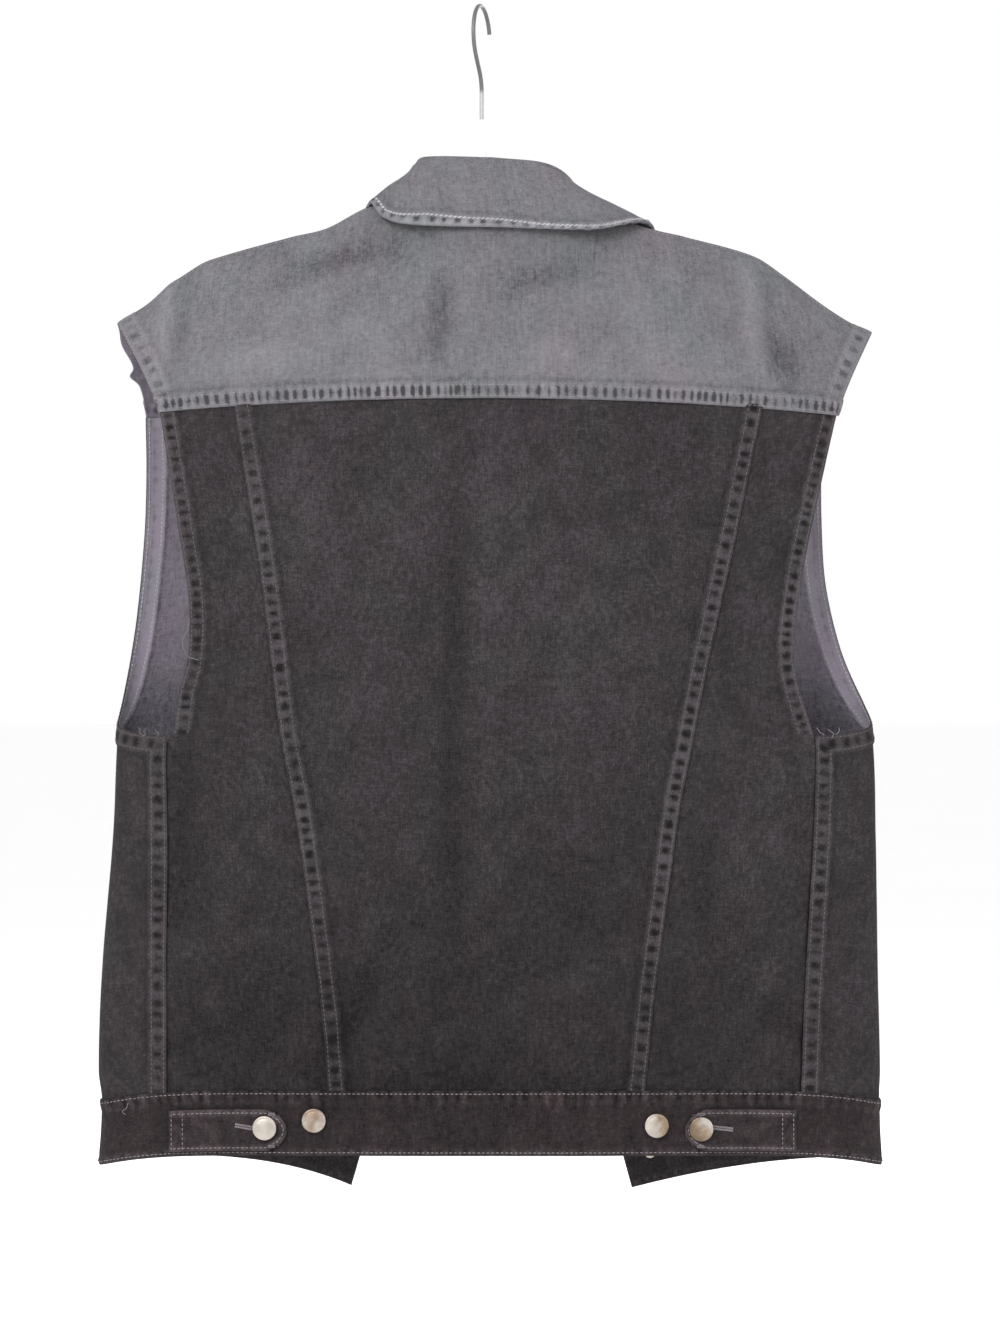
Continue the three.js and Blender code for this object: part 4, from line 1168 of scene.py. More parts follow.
def thread_bead():
    """One stitch: a small spindle of thread with few faces, one long and one thick."""
    maker = bmesh.new()
    bmesh.ops.create_uvsphere(maker, u_segments=5, v_segments=4, radius=0.5)
    bmesh.ops.rotate(maker, verts=maker.verts, cent=(0, 0, 0), matrix=Z_TO_X)
    maker.verts.index_update()
    corners = np.array([vertex.co for vertex in maker.verts])
    faces = [[vertex.index for vertex in face.verts] for face in maker.faces]
    maker.free()
    return corners, faces


Z_TO_X = Vector((0, 0, 1)).rotation_difference(Vector((1, 0, 0))).to_matrix()


def sew(name, rows, slot, thread):
    """Joins a bead of thread for each stitch of all the rows into one piece."""
    sizes = bpy.context.scene.vest_sizes
    walked = [walk(line, normals, sizes.stitch_pitch / MM) for line, normals in rows if len(line) > 2]
    place, along, normal = (np.concatenate(parts) for parts in zip(*walked))
    join_beads(name, place, along, normal, sizes.stitch / MM, slot, thread)


def join_beads(name, place, along, normal, long, slot, thread):
    """One piece of thread from beads at places, with their directions, normals and length."""
    thick = bpy.context.scene.vest_sizes.thread / MM
    corners, faces = thread_bead()
    beside = np.cross(normal, along)
    shape = place[:, None] + normal[:, None] * (corners[:, 2:] * thick + 0.25 * thick)
    shape = shape + along[:, None] * corners[:, :1] * long + beside[:, None] * corners[:, 1:2] * thick
    firsts = np.arange(len(place)) * len(corners)
    all_faces = [[first + corner for corner in face] for first in firsts.tolist() for face in faces]
    mesh = bpy.data.meshes.new(name)
    mesh.from_pydata((shape.reshape(-1, 3) * MM).tolist(), [], all_faces)
    mesh.shade_smooth()
    mesh.materials.append(finish(thread))
    add_piece(name, mesh, slot)


def across_slit(cloth, start, stop, wide, pitch=0.75):
    """Beads that lie crosswise on both sides of a line: places, directions and normals."""
    start, stop = np.array(start, float), np.array(stop, float)
    run = unit(stop - start)
    beside = np.array((-run[1], run[0]))
    steps = np.linspace(0, 1, int(np.linalg.norm(stop - start) / pitch) + 1)[:, None]
    flat = np.concatenate([lerp(start, stop, steps) + beside * shift for shift in (-wide / 4, wide / 4)])
    place, normal = cloth.at(flat[:, 0], flat[:, 1])
    ahead = np.broadcast_to((beside[0], 0, beside[1]), place.shape)
    return place, unit(ahead - normal * (ahead * normal).sum(-1, keepdims=True)), normal


def sew_across(name, cloth, lines, wide):
    """Buttonholes or bartacks: each a line with dense stitches across it."""
    parts = [across_slit(cloth, start, stop, wide) for start, stop in lines]
    place, along, normal = (np.concatenate(part) for part in zip(*parts))
    join_beads(name, place, along, normal, wide / 2, "dark_denim", "pale_thread")


def wire_mesh(name, paths, radius, steps, outside):
    """Round wire along each path, with closed ends."""
    curve = bpy.data.curves.new(name, "CURVE")
    curve.dimensions = "3D"
    curve.bevel_depth = radius * MM
    curve.bevel_resolution = steps
    curve.use_fill_caps = True
    for path in paths:
        spline = curve.splines.new("POLY")
        spline.points.add(len(path) - 1)
        for point, place in zip(spline.points, path):
            point.co = (*(place * MM), 1)
    carrier = bpy.data.objects.new("path", curve)
    mesh = bpy.data.meshes.new_from_object(carrier)
    bpy.data.objects.remove(carrier)
    mesh.materials.append(finish(outside))
    mesh.shade_smooth()
    return mesh


# Finishes
FINISHES = {}


def finish(name):
    """A finish by name, made once."""
    if name not in FINISHES:
        FINISHES[name] = FINISH_MAKERS[name](bpy.context.scene.vest_colours)
        FINISHES[name].name = name
    return FINISHES[name]


def add_node(tree, kind, inputs=(), **settings):
    node = tree.nodes.new(kind)
    for key, value in settings.items():
        setattr(node, key, value)
    for key, value in dict(inputs).items():
        if isinstance(value, bpy.types.NodeSocket):
            tree.links.new(value, node.inputs[key])
        else:
            node.inputs[key].default_value = value
    return node


def start_finish(roughness, metallic=0.0, sheen=0.0, gloss=0.5):
    material = bpy.data.materials.new("finish")
    material.use_nodes = True
    tree = material.node_tree
    shader = tree.nodes["Principled BSDF"]
    shader.inputs["Roughness"].default_value = roughness
    shader.inputs["Metallic"].default_value = metallic
    shader.inputs["Specular IOR Level"].default_value = gloss
    shader.inputs["Sheen Weight"].default_value = sheen
    shader.inputs["Sheen Roughness"].default_value = 0.6
    return material, tree, shader


def object_place(tree):
    return add_node(tree, "ShaderNodeTexCoord").outputs["Object"]


def noise(tree, vector, size, detail=2.0):
    """Noise whose spots are about size across: one number, or one for each direction."""
    scale = [1 / part for part in (size if hasattr(size, "__len__") else (size,) * 3)]
    placed = add_node(tree, "ShaderNodeMapping", {"Vector": vector, "Scale": scale})
    inputs = {"Vector": placed.outputs[0], "Scale": 1.0, "Detail": detail}
    return add_node(tree, "ShaderNodeTexNoise", inputs).outputs[0]


def add_up(tree, start, parts):
    """Adds (value, share) pairs to a start, each counted from its middle of a half."""
    total = start - sum(share for _, share in parts) / 2
    for value, share in parts:
        step = add_node(tree, "ShaderNodeMath", {0: value, 1: share, 2: total}, operation="MULTIPLY_ADD")
        total = step.outputs[0]
    return total


def shades(tree, tone, stops):
    """Colour from a tone, through (place, colour) stops."""
    made = add_node(tree, "ShaderNodeValToRGB", {"Fac": tone})
    ramp_stops = made.color_ramp.elements
    while len(ramp_stops) < len(stops):
        ramp_stops.new(0.5)
    for stop, (place, colour) in zip(ramp_stops, stops):
        stop.position = place
        stop.color = (*colour, 1)
    return made.outputs[0]


def paint(tree, shader, tone, stops):
    """Colours a finish by a tone, through (place, colour) stops."""
    tree.links.new(shades(tree, tone, stops), shader.inputs["Base Color"])


def bump(tree, shader, height, distance, strength=1.0):
    inputs = {"Height": height, "Distance": distance, "Strength": strength}
    raised = add_node(tree, "ShaderNodeBump", inputs)
    tree.links.new(raised.outputs[0], shader.inputs["Normal"])


def times(colour, factor):
    return tuple(min(part * factor, 1) for part in colour)


# A wave texture of scale 1 has a line about every 0.3142 m
WAVE_PERIOD = 0.3142


def denim(colour, mottle, deep, bright, slub=0.008, kept_tone="tone"):
    """Washed twill: threads and streaks both ways, blotches from washing, and the tone kept on the cloth,
    with its wear and its painted light and shade.
    """
    material, tree, shader = start_finish(roughness=0.92, sheen=0.02, gloss=0.1)
    cloth = add_node(tree, "ShaderNodeUVMap", uv_map="cloth").outputs[0]
    twill_size = bpy.context.scene.vest_sizes.twill
    turned = add_node(tree, "ShaderNodeMapping", {"Vector": cloth, "Rotation": (0, 0, 0.9)})
    waves = {
        "Vector": turned.outputs[0],
        "Scale": WAVE_PERIOD / twill_size,
        "Distortion": 1.6,
        "Detail Scale": 0.6,
    }
    twill = add_node(tree, "ShaderNodeTexWave", waves).outputs[1]
    warp, weft, grain, flecks, blotches, clouds = (
        noise(tree, cloth, (wide, tall, 1), detail) for wide, tall, detail in (
            (0.0011, slub, 2), (0.007, 0.0011, 2), (0.0013, 0.0017, 3),
            (0.0036, 0.005, 3), (0.015, 0.022, 2), (0.06, 0.09, 1)))
    kept = add_node(tree, "ShaderNodeAttribute", attribute_name=kept_tone).outputs["Fac"]
    values = (twill, warp, weft, grain, flecks, blotches, clouds)
    shares = (0.10, 0.55, 0.50, 0.85, 0.75, 0.42, 0.26)
    tone = add_up(tree, 0.4, [(value, share * mottle) for value, share in zip(values, shares)])
    tone = add_node(tree, "ShaderNodeMath", {0: kept, 1: tone}, operation="ADD").outputs[0]
    shade = shades(tree, tone, [(0, times(colour, deep)), (0.4, colour), (1, times(colour, bright))])
    tint_stops = [(0.3, (0.96, 1.0, 0.99)), (0.7, (1.0, 0.94, 0.97))]
    tint = shades(tree, noise(tree, cloth, (0.05, 0.07, 1), 1), tint_stops)
    mixed = add_node(tree, "ShaderNodeVectorMath", {0: shade, 1: tint}, operation="MULTIPLY")
    tree.links.new(mixed.outputs[0], shader.inputs["Base Color"])
    relief_height = add_up(tree, 0.5, [(twill, 0.5), (warp, 0.35), (weft, 0.3), (grain, 0.5), (flecks, 0.6)])
    bump(tree, shader, relief_height, 0.0007, 0.8)
    return material


def thread_finish(colour):
    material, tree, shader = start_finish(roughness=0.75, sheen=0.05, gloss=0.15)
    place = object_place(tree)
    tone = add_up(tree, 0.5, [(noise(tree, place, 0.0012, 2), 0.5), (noise(tree, place, 0.02, 2), 0.7)])
    stops = [(0, times(colour, 0.45)), (0.5, colour), (1, times(colour, 1.5))]
    paint(tree, shader, tone, stops)
    bump(tree, shader, noise(tree, place, 0.0003, 1), 0.0001)
    return material


METAL_BROWN = (0.78, 0.64, 0.5)


def aged_metal(colour):
    material, tree, shader = start_finish(roughness=0.38, metallic=1.0)
    place = object_place(tree)
    smudge = noise(tree, place, 0.006, 3)
    speck = noise(tree, place, 0.0007, 2)
    each = noise(tree, place, 0.028, 0)
    tone = add_up(tree, 0.5, [(each, 2.0), (smudge, 0.9), (speck, 0.4)])
    brown = tinted(colour, METAL_BROWN)
    stops = [(0, times(brown, 0.6)), (0.35, brown), (0.65, times(colour, 1.15)), (1, times(colour, 1.5))]
    paint(tree, shader, tone, stops)
    rough = add_up(tree, 0.42, [(smudge, 0.3), (speck, 0.2)])
    tree.links.new(rough, shader.inputs["Roughness"])
    bump(tree, shader, speck, 0.00012)
    return material


def bright_wire(colour):
    """Drawn steel, with a painted reflection that makes the straight shaft below the hook paler."""
    material, tree, shader = start_finish(roughness=0.45, metallic=0.6)
    place = object_place(tree)
    drawn = noise(tree, place, (0.0006, 0.0006, 0.02), 2)
    height = add_node(tree, "ShaderNodeSeparateXYZ", {0: place}).outputs[2]
    # Painted reflection: the wire is painted paler below the top of the straight shaft
    below_top = {0: height, 1: -1 / (SHAFT_BLEND * MM), 2: HOOK_SHAFT_TOP / SHAFT_BLEND + 0.5}
    on_shaft = add_node(tree, "ShaderNodeMath", below_top, operation="MULTIPLY_ADD", use_clamp=True)
    parts = {0: drawn, 1: 0.3, 2: on_shaft.outputs[0]}
    tone = add_node(tree, "ShaderNodeMath", parts, operation="MULTIPLY_ADD").outputs[0]
    paint(tree, shader, tone, [(0, times(colour, 0.7)), (0.3, colour), (1, times(colour, 2.2))])
    rough = add_up(tree, 0.45, [(drawn, 0.1)])
    tree.links.new(rough, shader.inputs["Roughness"])
    return material


def moulded_plastic(colour):
    material, tree, shader = start_finish(roughness=0.36)
    place = object_place(tree)
    stops = [(0, times(colour, 0.93)), (1, times(colour, 1.04))]
    paint(tree, shader, noise(tree, place, 0.03, 2), stops)
    bump(tree, shader, noise(tree, place, 0.0009, 2), 0.00006)
    return material


def plain_floor(_):
    material, tree, shader = start_finish(roughness=0.9, gloss=0.2)
    place = object_place(tree)
    paint(tree, shader, noise(tree, place, 0.4, 2), [(0, (0.96,) * 3), (1, (0.99,) * 3)])
    return material


def tinted(colour, tint):
    return [part * share for part, share in zip(colour, tint)]


BAND_TINT = (0.95, 0.84, 0.82)
FINISH_MAKERS = {
    "dark_denim": lambda colours: denim(colours.dark, 0.8, 0.3, 2.9),
    "band_denim": lambda colours: denim(tinted(colours.dark, BAND_TINT), 0.8, 0.3, 2.9),
    "pale_denim": lambda colours: denim(colours.pale, 0.66, 0.35, 1.85, 0.02),
    "wrong_side_denim": lambda colours: denim(colours.wrong, 0.7, 0.4, 1.7, 0.01, "inner"),
    "dark_thread": lambda colours: thread_finish(colours.dark_thread),
    "pale_thread": lambda colours: thread_finish(colours.pale_thread),
    "light_thread": lambda colours: thread_finish(colours.light_thread),
    "button_metal": lambda colours: aged_metal(colours.metal),
    "hook_wire": lambda colours: bright_wire(colours.wire),
    "hanger_plastic": lambda colours: moulded_plastic(colours.plastic),
    "plain_floor": plain_floor,
}
CLOTH_SLOTS = {"dark_denim": "dark_denim", "band_denim": "dark_denim", "pale_denim": "pale_denim"}


class VestOperator(bpy.types.Operator):
    """Makes pieces of the vest."""

    bl_options = {"REGISTER"}

    def execute(self, context):
        self.make()
        return {"FINISHED"}


class VEST_OT_back_panels(VestOperator):
    """Back centre panel, whose sewn edges lap over the two side panels."""

    bl_idname = "vest.back_panels"
    bl_label = "Back Panels"

    def make(self):
        rows = spread(480, 1.9, (8, 8), (0, TUCK))
        self.centre_panel(rows)
        self.side_panel(LEFT, rows)
        self.side_panel(RIGHT, rows)

    def centre_panel(self, rows):
        surface = back_panel("slant_right", "slant_left")
        columns = spread(290, 3.1, (20, 20), (LAP_OVER, LAP_OVER))
        cloth = Cloth(surface, columns, rows, 1)
        cloth.fold(BACK_CREASES, 1.3)
        cloth.wash_and_fold_shading(BACK_PATCHES)
        cloth.crumple(90, 0.5, 11)
        cloth.crumple(26, 0.12, 12, 0.025)
        cloth.lap("first", LAP_WIDE, PUCKER_PITCH, 21)
        cloth.lap("last", LAP_WIDE, PUCKER_PITCH, 22)
        cloth.shadow("top", 3, 0.2)
        cloth_piece("back_centre_panel", cloth, PANEL_WALL, "dark_denim")
        stitches = cloth.lines(("first", "last"), LAP_ROWS)
        sew("back_seam_stitches", stitches, "dark_denim", "dark_thread")

    def side_panel(self, side, rows):
        name = SIDE_NAMES[side]
        if side > 0:
            seams, inner, outer = ("slant_left", "outer_left"), "first", "last"
            fine, tucked = (4, 20), (TUCK, 0)
        else:
            seams, inner, outer = ("outer_right", "slant_right"), "last", "first"
            fine, tucked = (20, 4), (0, TUCK)
        cloth = Cloth(back_panel(*seams), spread(100, 3, fine, tucked), rows, 1)
        cloth.fold(BACK_CREASES, 1.3)
        cloth.wash_and_fold_shading(BACK_PATCHES)
        cloth.crumple(70, 0.5, 13 + side)
        cloth.crumple(24, 0.12, 15 + side, 0.03)
        cloth.lap(outer, HEM_WIDE - 2, CLOSE_PITCH, 31 + side, rise=0.5, within=(UNDERARM, 560))
        cloth.worn_edge(outer, 0.3, 2.4)
        cloth.shadow(inner)
        cloth.shadow(outer, below=UNDERARM)
        cloth.shadow("top", 3, 0.2)
        cloth_piece(f"back_side_panel_{name}", cloth, PANEL_WALL, "dark_denim")
        stitches = cloth.lines([outer], ARMHOLE_ROWS, low=UNDERARM)
        sew(f"back_armhole_stitches_{name}", stitches, "dark_denim", "dark_thread")


class VEST_OT_front_panels(VestOperator):
    """Front panels, which wrap round the sides to the side seams and round the feet of the armholes."""

    bl_idname = "vest.front_panels"
    bl_label = "Front Panels"

    def make(self):
        for side, name in SIDE_NAMES.items():
            columns = spread(275, 3.4, (20, 4), (LAP_OVER, 0))
            cloth = Cloth(front_panel(side), columns, spread(545, 2.3, (8, 8)), side, grain=1)
            cloth.fold(FRONT_CREASES)
            cloth.wash_and_fold_shading(FRONT_PATCHES)
            cloth.crumple(80, 0.5, 41 + side)
            cloth.crumple(24, 0.12, 43 + side, 0.03)
            cloth.lap("first", SIDE_LAP_WIDE, PUCKER_PITCH, 51 + side, contrast=0.85)
            cloth.inner_hem("first", INNER_HEM_WIDE, UNDERARM, 53 + side)
            cloth_piece(f"front_panel_{name}", cloth, PANEL_WALL, "dark_denim")
            stitches = cloth.lines(["first"], SIDE_ROWS)
            sew(f"side_seam_stitches_{name}", stitches, "dark_denim", "dark_thread")
            rows = cloth.lines(["first"], INNER_ROWS, low=UNDERARM + 8)
            rows = [(line - normal * PANEL_WALL, -normal) for line, normal in rows]
            sew(f"inner_hem_stitches_{name}", rows, "dark_denim", "light_thread")


class VEST_OT_yokes(VestOperator):
    """Back and front yokes in faded denim, which lie on the hanger."""

    bl_idname = "vest.yokes"
    bl_label = "Yokes"

    def make(self):
        self.back_piece()
        for side in (LEFT, RIGHT):
            self.front_piece(side)

    def back_piece(self):
        rows = spread(145, 2.4, (20, 4), (LAP_OVER, 0))
        cloth = Cloth(back_yoke, spread(540, 1.6, (20, 20)), rows, 1)
        cloth.fold(YOKE_CREASES, 1.3)
        cloth.wash_and_fold_shading(YOKE_PATCHES)
        cloth.crumple(60, 0.45, 61)
        cloth.crumple(20, 0.12, 62)
        for edge in ("first", "last"):
            cloth.lap(edge, HEM_WIDE, PUCKER_PITCH, 64, rise=0.4, contrast=0.6)
            cloth.worn_edge(edge, 0.12)
        cloth.lap("bottom", YOKE_LAP_WIDE, YOKE_PUCKER_PITCH, 66, contrast=1.3, deep=0.36, pale=0.45)
        cloth.line_shade("bottom", YOKE_LAP_WIDE / 2, 4, -0.1)
        cloth.worn_edge("bottom", 0.10)
        cloth_piece("back_yoke", cloth, YOKE_WALL, "pale_denim")
        stitches = cloth.lines(["bottom"], YOKE_ROWS, trim=2)
        stitches += cloth.lines(("first", "last"), YOKE_END_ROWS, trim=2)
        stitches += [cloth.line("top", YOKE_TOP_ROW, trim=3)]
        sew("back_yoke_stitches", stitches, "pale_denim", "pale_thread")

    def front_piece(self, side):
        name = f"front_yoke_{SIDE_NAMES[side]}"
        rows = spread(125, 2.4, (20, 4), (LAP_OVER, 0))
        cloth = Cloth(front_yoke(side), spread(195, 2.2, (20, 4)), rows, side, grain=1)
        cloth.fold(YOKE_CREASES, 0.7)
        cloth.crumple(60, 0.45, 71 + side)
        cloth.crumple(20, 0.12, 73 + side)
        cloth.lap("first", HEM_WIDE, PUCKER_PITCH, 75 + side, rise=0.4, contrast=0.6)
        cloth.worn_edge("first", 0.12)
        cloth.lap("bottom", YOKE_LAP_WIDE, YOKE_PUCKER_PITCH, 77 + side)
        for row in SHOULDER_FLARES[side]:
            cloth.flare("first", *row)
        cloth_piece(name, cloth, YOKE_WALL, "pale_denim")
        stitches = cloth.lines(["bottom"], YOKE_ROWS, trim=2)
        stitches += cloth.lines(["first"], YOKE_END_ROWS, trim=2)
        sew(f"front_yoke_stitches_{SIDE_NAMES[side]}", stitches, "pale_denim", "pale_thread")


class VEST_OT_plackets(VestOperator):
    """Front plackets, each with a sewn row along both edges."""

    bl_idname = "vest.plackets"
    bl_label = "Plackets"

    def make(self):
        for side, name in SIDE_NAMES.items():
            columns = spread(38, 1.9, (4, 4), (0, LAP_OVER))
            cloth = Cloth(placket(side), columns, spread(560, 2, (4, 4)), -side, grain=0)
            cloth.wash_and_fold_shading(FRONT_PATCHES)
            cloth.crumple(50, 0.35, 81 + side)
            cloth.lap("first", 6, CLOSE_PITCH, 83 + side, rise=0.1, contrast=0.7)
            cloth.lap("last", 6, CLOSE_PITCH, 85 + side, rise=0.1, contrast=0.7)
            cloth.raise_edge("last", 0.9, 8)
            cloth.worn_edge("first", 0.2)
            cloth_piece(f"placket_{name}", cloth, PLACKET_WALL, "dark_denim", "dark_denim")
            stitches = cloth.lines(("first", "last"), [PLACKET_ROW], trim=2)
            sew(f"placket_stitches_{name}", stitches, "dark_denim", "pale_thread")
            if side == LEFT:
                holes = [self.buttonhole(height) for height in FRONT_BUTTON_HEIGHTS]
                sew_across("placket_buttonholes", cloth, holes, HOLE_WIDE)

    def buttonhole(self, height):
        edge = opening_edge(LEFT, height)
        return (edge + HOLE_INSET, height), (edge + HOLE_INSET + HOLE_LONG, height)


class VEST_OT_waistband(VestOperator):
    """Waistband in one piece from front end to front end."""

    bl_idname = "vest.waistband"
    bl_label = "Waistband"

    def make(self):
        rows = spread(45, 1.3, past=(0, LAP_OVER))
        cloth = Cloth(waistband, spread(1060, 2, (4, 4)), rows, 1)
        cloth.wash_and_fold_shading(BACK_PATCHES)
        cloth.crumple(70, 0.5, 91)
        cloth.crumple(18, 0.16, 92, 0.05)
        cloth.lap("top", 10, 8, 93, rise=0.1, contrast=0.3)
        cloth.gather("top", 16, 9, 95, 0.3)
        cloth.lap("bottom", 6, 8, 94, rise=0.1, contrast=0.4)
        cloth.raise_edge("top", 1.2, 9)
        for edge in ("bottom", "first", "last"):
            cloth.worn_edge(edge, 0.16)
        cloth_piece("waistband", cloth, BAND_WALL, "band_denim", "dark_denim")
        stitches = [cloth.line("top", BAND_TOP_ROW), cloth.line("bottom", BAND_LOW_ROW, trim=3)]
        stitches += cloth.lines(("first", "last"), [BAND_END_ROW], trim=3)
        sew("waistband_stitches", stitches, "dark_denim", "pale_thread")


class VEST_OT_tabs(VestOperator):
    """Adjuster tabs, sewn on at one end and buttoned to the waistband."""

    bl_idname = "vest.tabs"
    bl_label = "Tabs"

    def make(self):
        for side, name in SIDE_NAMES.items():
            cloth = Cloth(tab(side), spread(84, 1.4), spread(29.5, 1.2), -side)
            cloth.crumple(40, 0.2, 101 + side)
            cloth.crumple(14, 0.12, 103 + side, 0.1)
            for edge in ("bottom", "top", "last"):
                cloth.lap(edge, 4.5, 7, 105 + side, rise=0.1, contrast=0.6)
                cloth.worn_edge(edge, 0.2)
            cloth.slit(*TAB_HOLES[side])
            cloth_piece(f"tab_{name}", cloth, TAB_WALL, "band_denim", "dark_denim")
            stitches = cloth.lines(("bottom", "top", "last"), [TAB_ROW], trim=2)
            stitches += cloth.lines(["first"], TAB_SEWN_ROWS, trim=1)
            sew(f"tab_stitches_{name}", stitches, "dark_denim", "pale_thread")
            sew_across(f"tab_buttonhole_{name}", cloth, [TAB_HOLES[side]], HOLE_WIDE)
            sew_across(f"tab_bartacks_{name}", cloth, self.bartacks(side), TACK_WIDE)

    def bartacks(self, side):
        """Short dense rows where the tab narrows to its point, one near each edge."""
        size = TABS[side]
        x = size["tip"] + side * size["shoulder"]
        heights = size["bottom"] + TACK_INSET, size["top"] - TACK_INSET
        return [((x, height), (x + side * TACK_LONG, height)) for height in heights]


class VEST_OT_collar(VestOperator):
    """Shirt collar in faded denim, folded down over itself."""

    bl_idname = "vest.collar"
    bl_label = "Collar"

    def make(self):
        cloth = Cloth(collar, spread(560, 2.2, (8, 8)), spread(115, 2.0, (2, 10)), -1)
        cloth.crumple(60, 0.5, 111)
        cloth.crumple(18, 0.14, 112)
        inset = np.interp(cloth.edges["top"][:, 0], *COLLAR_INSETS)
        inset = lerp(COLLAR_FRONT_INSET, inset, ramp(cloth.edges["top"][:, 1], -16, 0))
        cloth.lap("top", inset[:, None] + 1.7, 9, 113, rise=0.1, contrast=1.1)
        # Painted shadow under the raised row of stitches, between it and the free edge
        cloth.line_shade("top", inset[:, None] - 1.5, 1.2, -0.3)
        for edge in ("first", "last", "top"):
            cloth.worn_edge(edge, 0.16)
        cloth_piece("collar", cloth, COLLAR_WALL, "pale_denim", "pale_denim")
        stitches = cloth.lines(["top"], (inset, inset + COLLAR_ROW_GAP), trim=4)
        stitches += cloth.lines(("first", "last"), [COLLAR_END_ROW], trim=4)
        sew("collar_stitches", stitches, "pale_denim", "light_thread")


class VEST_OT_loose_threads(VestOperator):
    """Frayed ends of thread where the photographed vest is worn."""

    bl_idname = "vest.loose_threads"
    bl_label = "Loose Threads"

    def make(self):
        dice = np.random.default_rng(131)
        paths = [self.strand(dice, *row) for row in LOOSE_THREADS]
        mesh = wire_mesh("loose_threads", paths, 0.2, 1, "pale_thread")
        add_piece("loose_threads", mesh, "dark_denim")

    def strand(self, dice, x, height, across, down, curl):
        """A thread end that hangs from the cloth and strays to both sides."""
        part = np.linspace(0, 1, 14)
        turns = dice.uniform(0.6, 1.4) * 2 * np.pi
        sway = curl * part * np.sin(turns * part + dice.uniform(0, 6.3))
        start, normal = lifted(np.array(x), np.array(height), True, THREAD_LIFT)
        out = normal * (1.5 * np.sin(np.pi * part * dice.uniform(0.5, 1)))[:, None]
        return start + out + stack(across * part + sway, 0, -down * part)


class VEST_OT_buttons(VestOperator):
    """Tack buttons with rolled rims, and the tacks behind them."""

    bl_idname = "vest.buttons"
    bl_label = "Buttons"

    def make(self):
        for side, name in SIDE_NAMES.items():
            self.seat(f"tab_{name}", lambda lift: lifted(*TAB_BUTTONS[side], True, lift),
                      SEAM_GAP + TAB_WALL, SOLID_BAND_WALL)
            self.seat(f"band_{name}", lambda lift: lifted(*BAND_BUTTONS[side], True, lift),
                      0, SOLID_BAND_WALL)
        for place, height in enumerate(FRONT_BUTTON_HEIGHTS):
            self.seat(f"front_{place + 1}", lambda lift: self.on_placket(height, lift),
                      0, SOLID_PLACKET_WALL)
        x = opening_edge(RIGHT, BAND_TOP / 2) - PLACKET_WIDE / 2
        self.seat("front_band", lambda lift: lifted(x, BAND_TOP / 2, False, lift), 0, SOLID_BAND_WALL)

    def on_placket(self, height, lift):
        v = (height - BAND_TOP) / (NECK_FRONT - NECK_FRONT_DIP / 2 - BAND_TOP)
        surface = placket(RIGHT)

        def at(u, v):
            return surface(np.array([[u]]), np.array([[v]]))[0, 0]

        across = at(0.501, v) - at(0.499, v)
        up = at(0.5, v + 0.001) - at(0.5, v - 0.001)
        normal = unit(np.cross(up, across))
        return at(0.5, v) + normal * lift, normal

    def seat(self, name, face, lift, wall):
        """A button on a face of the cloth, and its tack behind the wall."""
        place, normal = face(np.array(lift + SEAM_GAP))
        self.turned(f"{name}_button", BUTTON_PROFILE, place, normal)
        place, _ = face(np.array(-wall - SEAM_GAP))
        self.turned(f"{name}_tack", TACK_PROFILE, place, -normal)

    def turned(self, name, profile, place, normal):
        """A turned piece whose axis stands on the cloth."""
        mesh = turned_mesh(name, profile, 40, "button_metal")
        turn = Vector((0, 0, 1)).rotation_difference(Vector(normal.ravel()))
        mesh.transform(Matrix.Translation(Vector(place.ravel() * MM)) @ turn.to_matrix().to_4x4())
        add_piece(name + "_metal", mesh, "button_metal", name)


def turned_mesh(name, profile, steps, outside):
    """A closed turned mesh round Z from a profile of radii and heights."""
    maker = bmesh.new()
    chain = [maker.verts.new((out * MM, 0, up * MM)) for out, up in zip(profile["out"], profile["up"])]
    edges = [maker.edges.new(pair) for pair in zip(chain, chain[1:])]
    bmesh.ops.spin(
        maker, geom=chain + edges, cent=(0, 0, 0), axis=(0, 0, 1),
        angle=2 * np.pi, steps=steps, use_merge=True)
    bmesh.ops.remove_doubles(maker, verts=maker.verts, dist=1e-6)
    bmesh.ops.recalc_face_normals(maker, faces=maker.faces)
    return made_mesh(name, maker, outside)


def shoulder_height(x):
    """Height of the shoulders over the hanger, which in the neck passes from one side to the other."""
    return lerp(ridge_height(RIGHT, x), ridge_height(LEFT, x), ramp(x, -HUB_HALF, HUB_HALF))


def arm_top(x):
    """Top of the hanger's arms, under the shoulder cloth, with a rise in the neck."""
    slope = (shoulder_height(x + 1) - shoulder_height(x - 1)) / 2
    under = shoulder_height(x) - (SOLID_YOKE_WALL + ARM_CLEAR) * np.hypot(1, slope)
    in_neck = np.clip(1 - np.abs(x) / HUB_HALF, 0, 1)
    return HEM_LEVEL + under + HUB_RISE * in_neck ** 2 * (3 - 2 * in_neck), in_neck


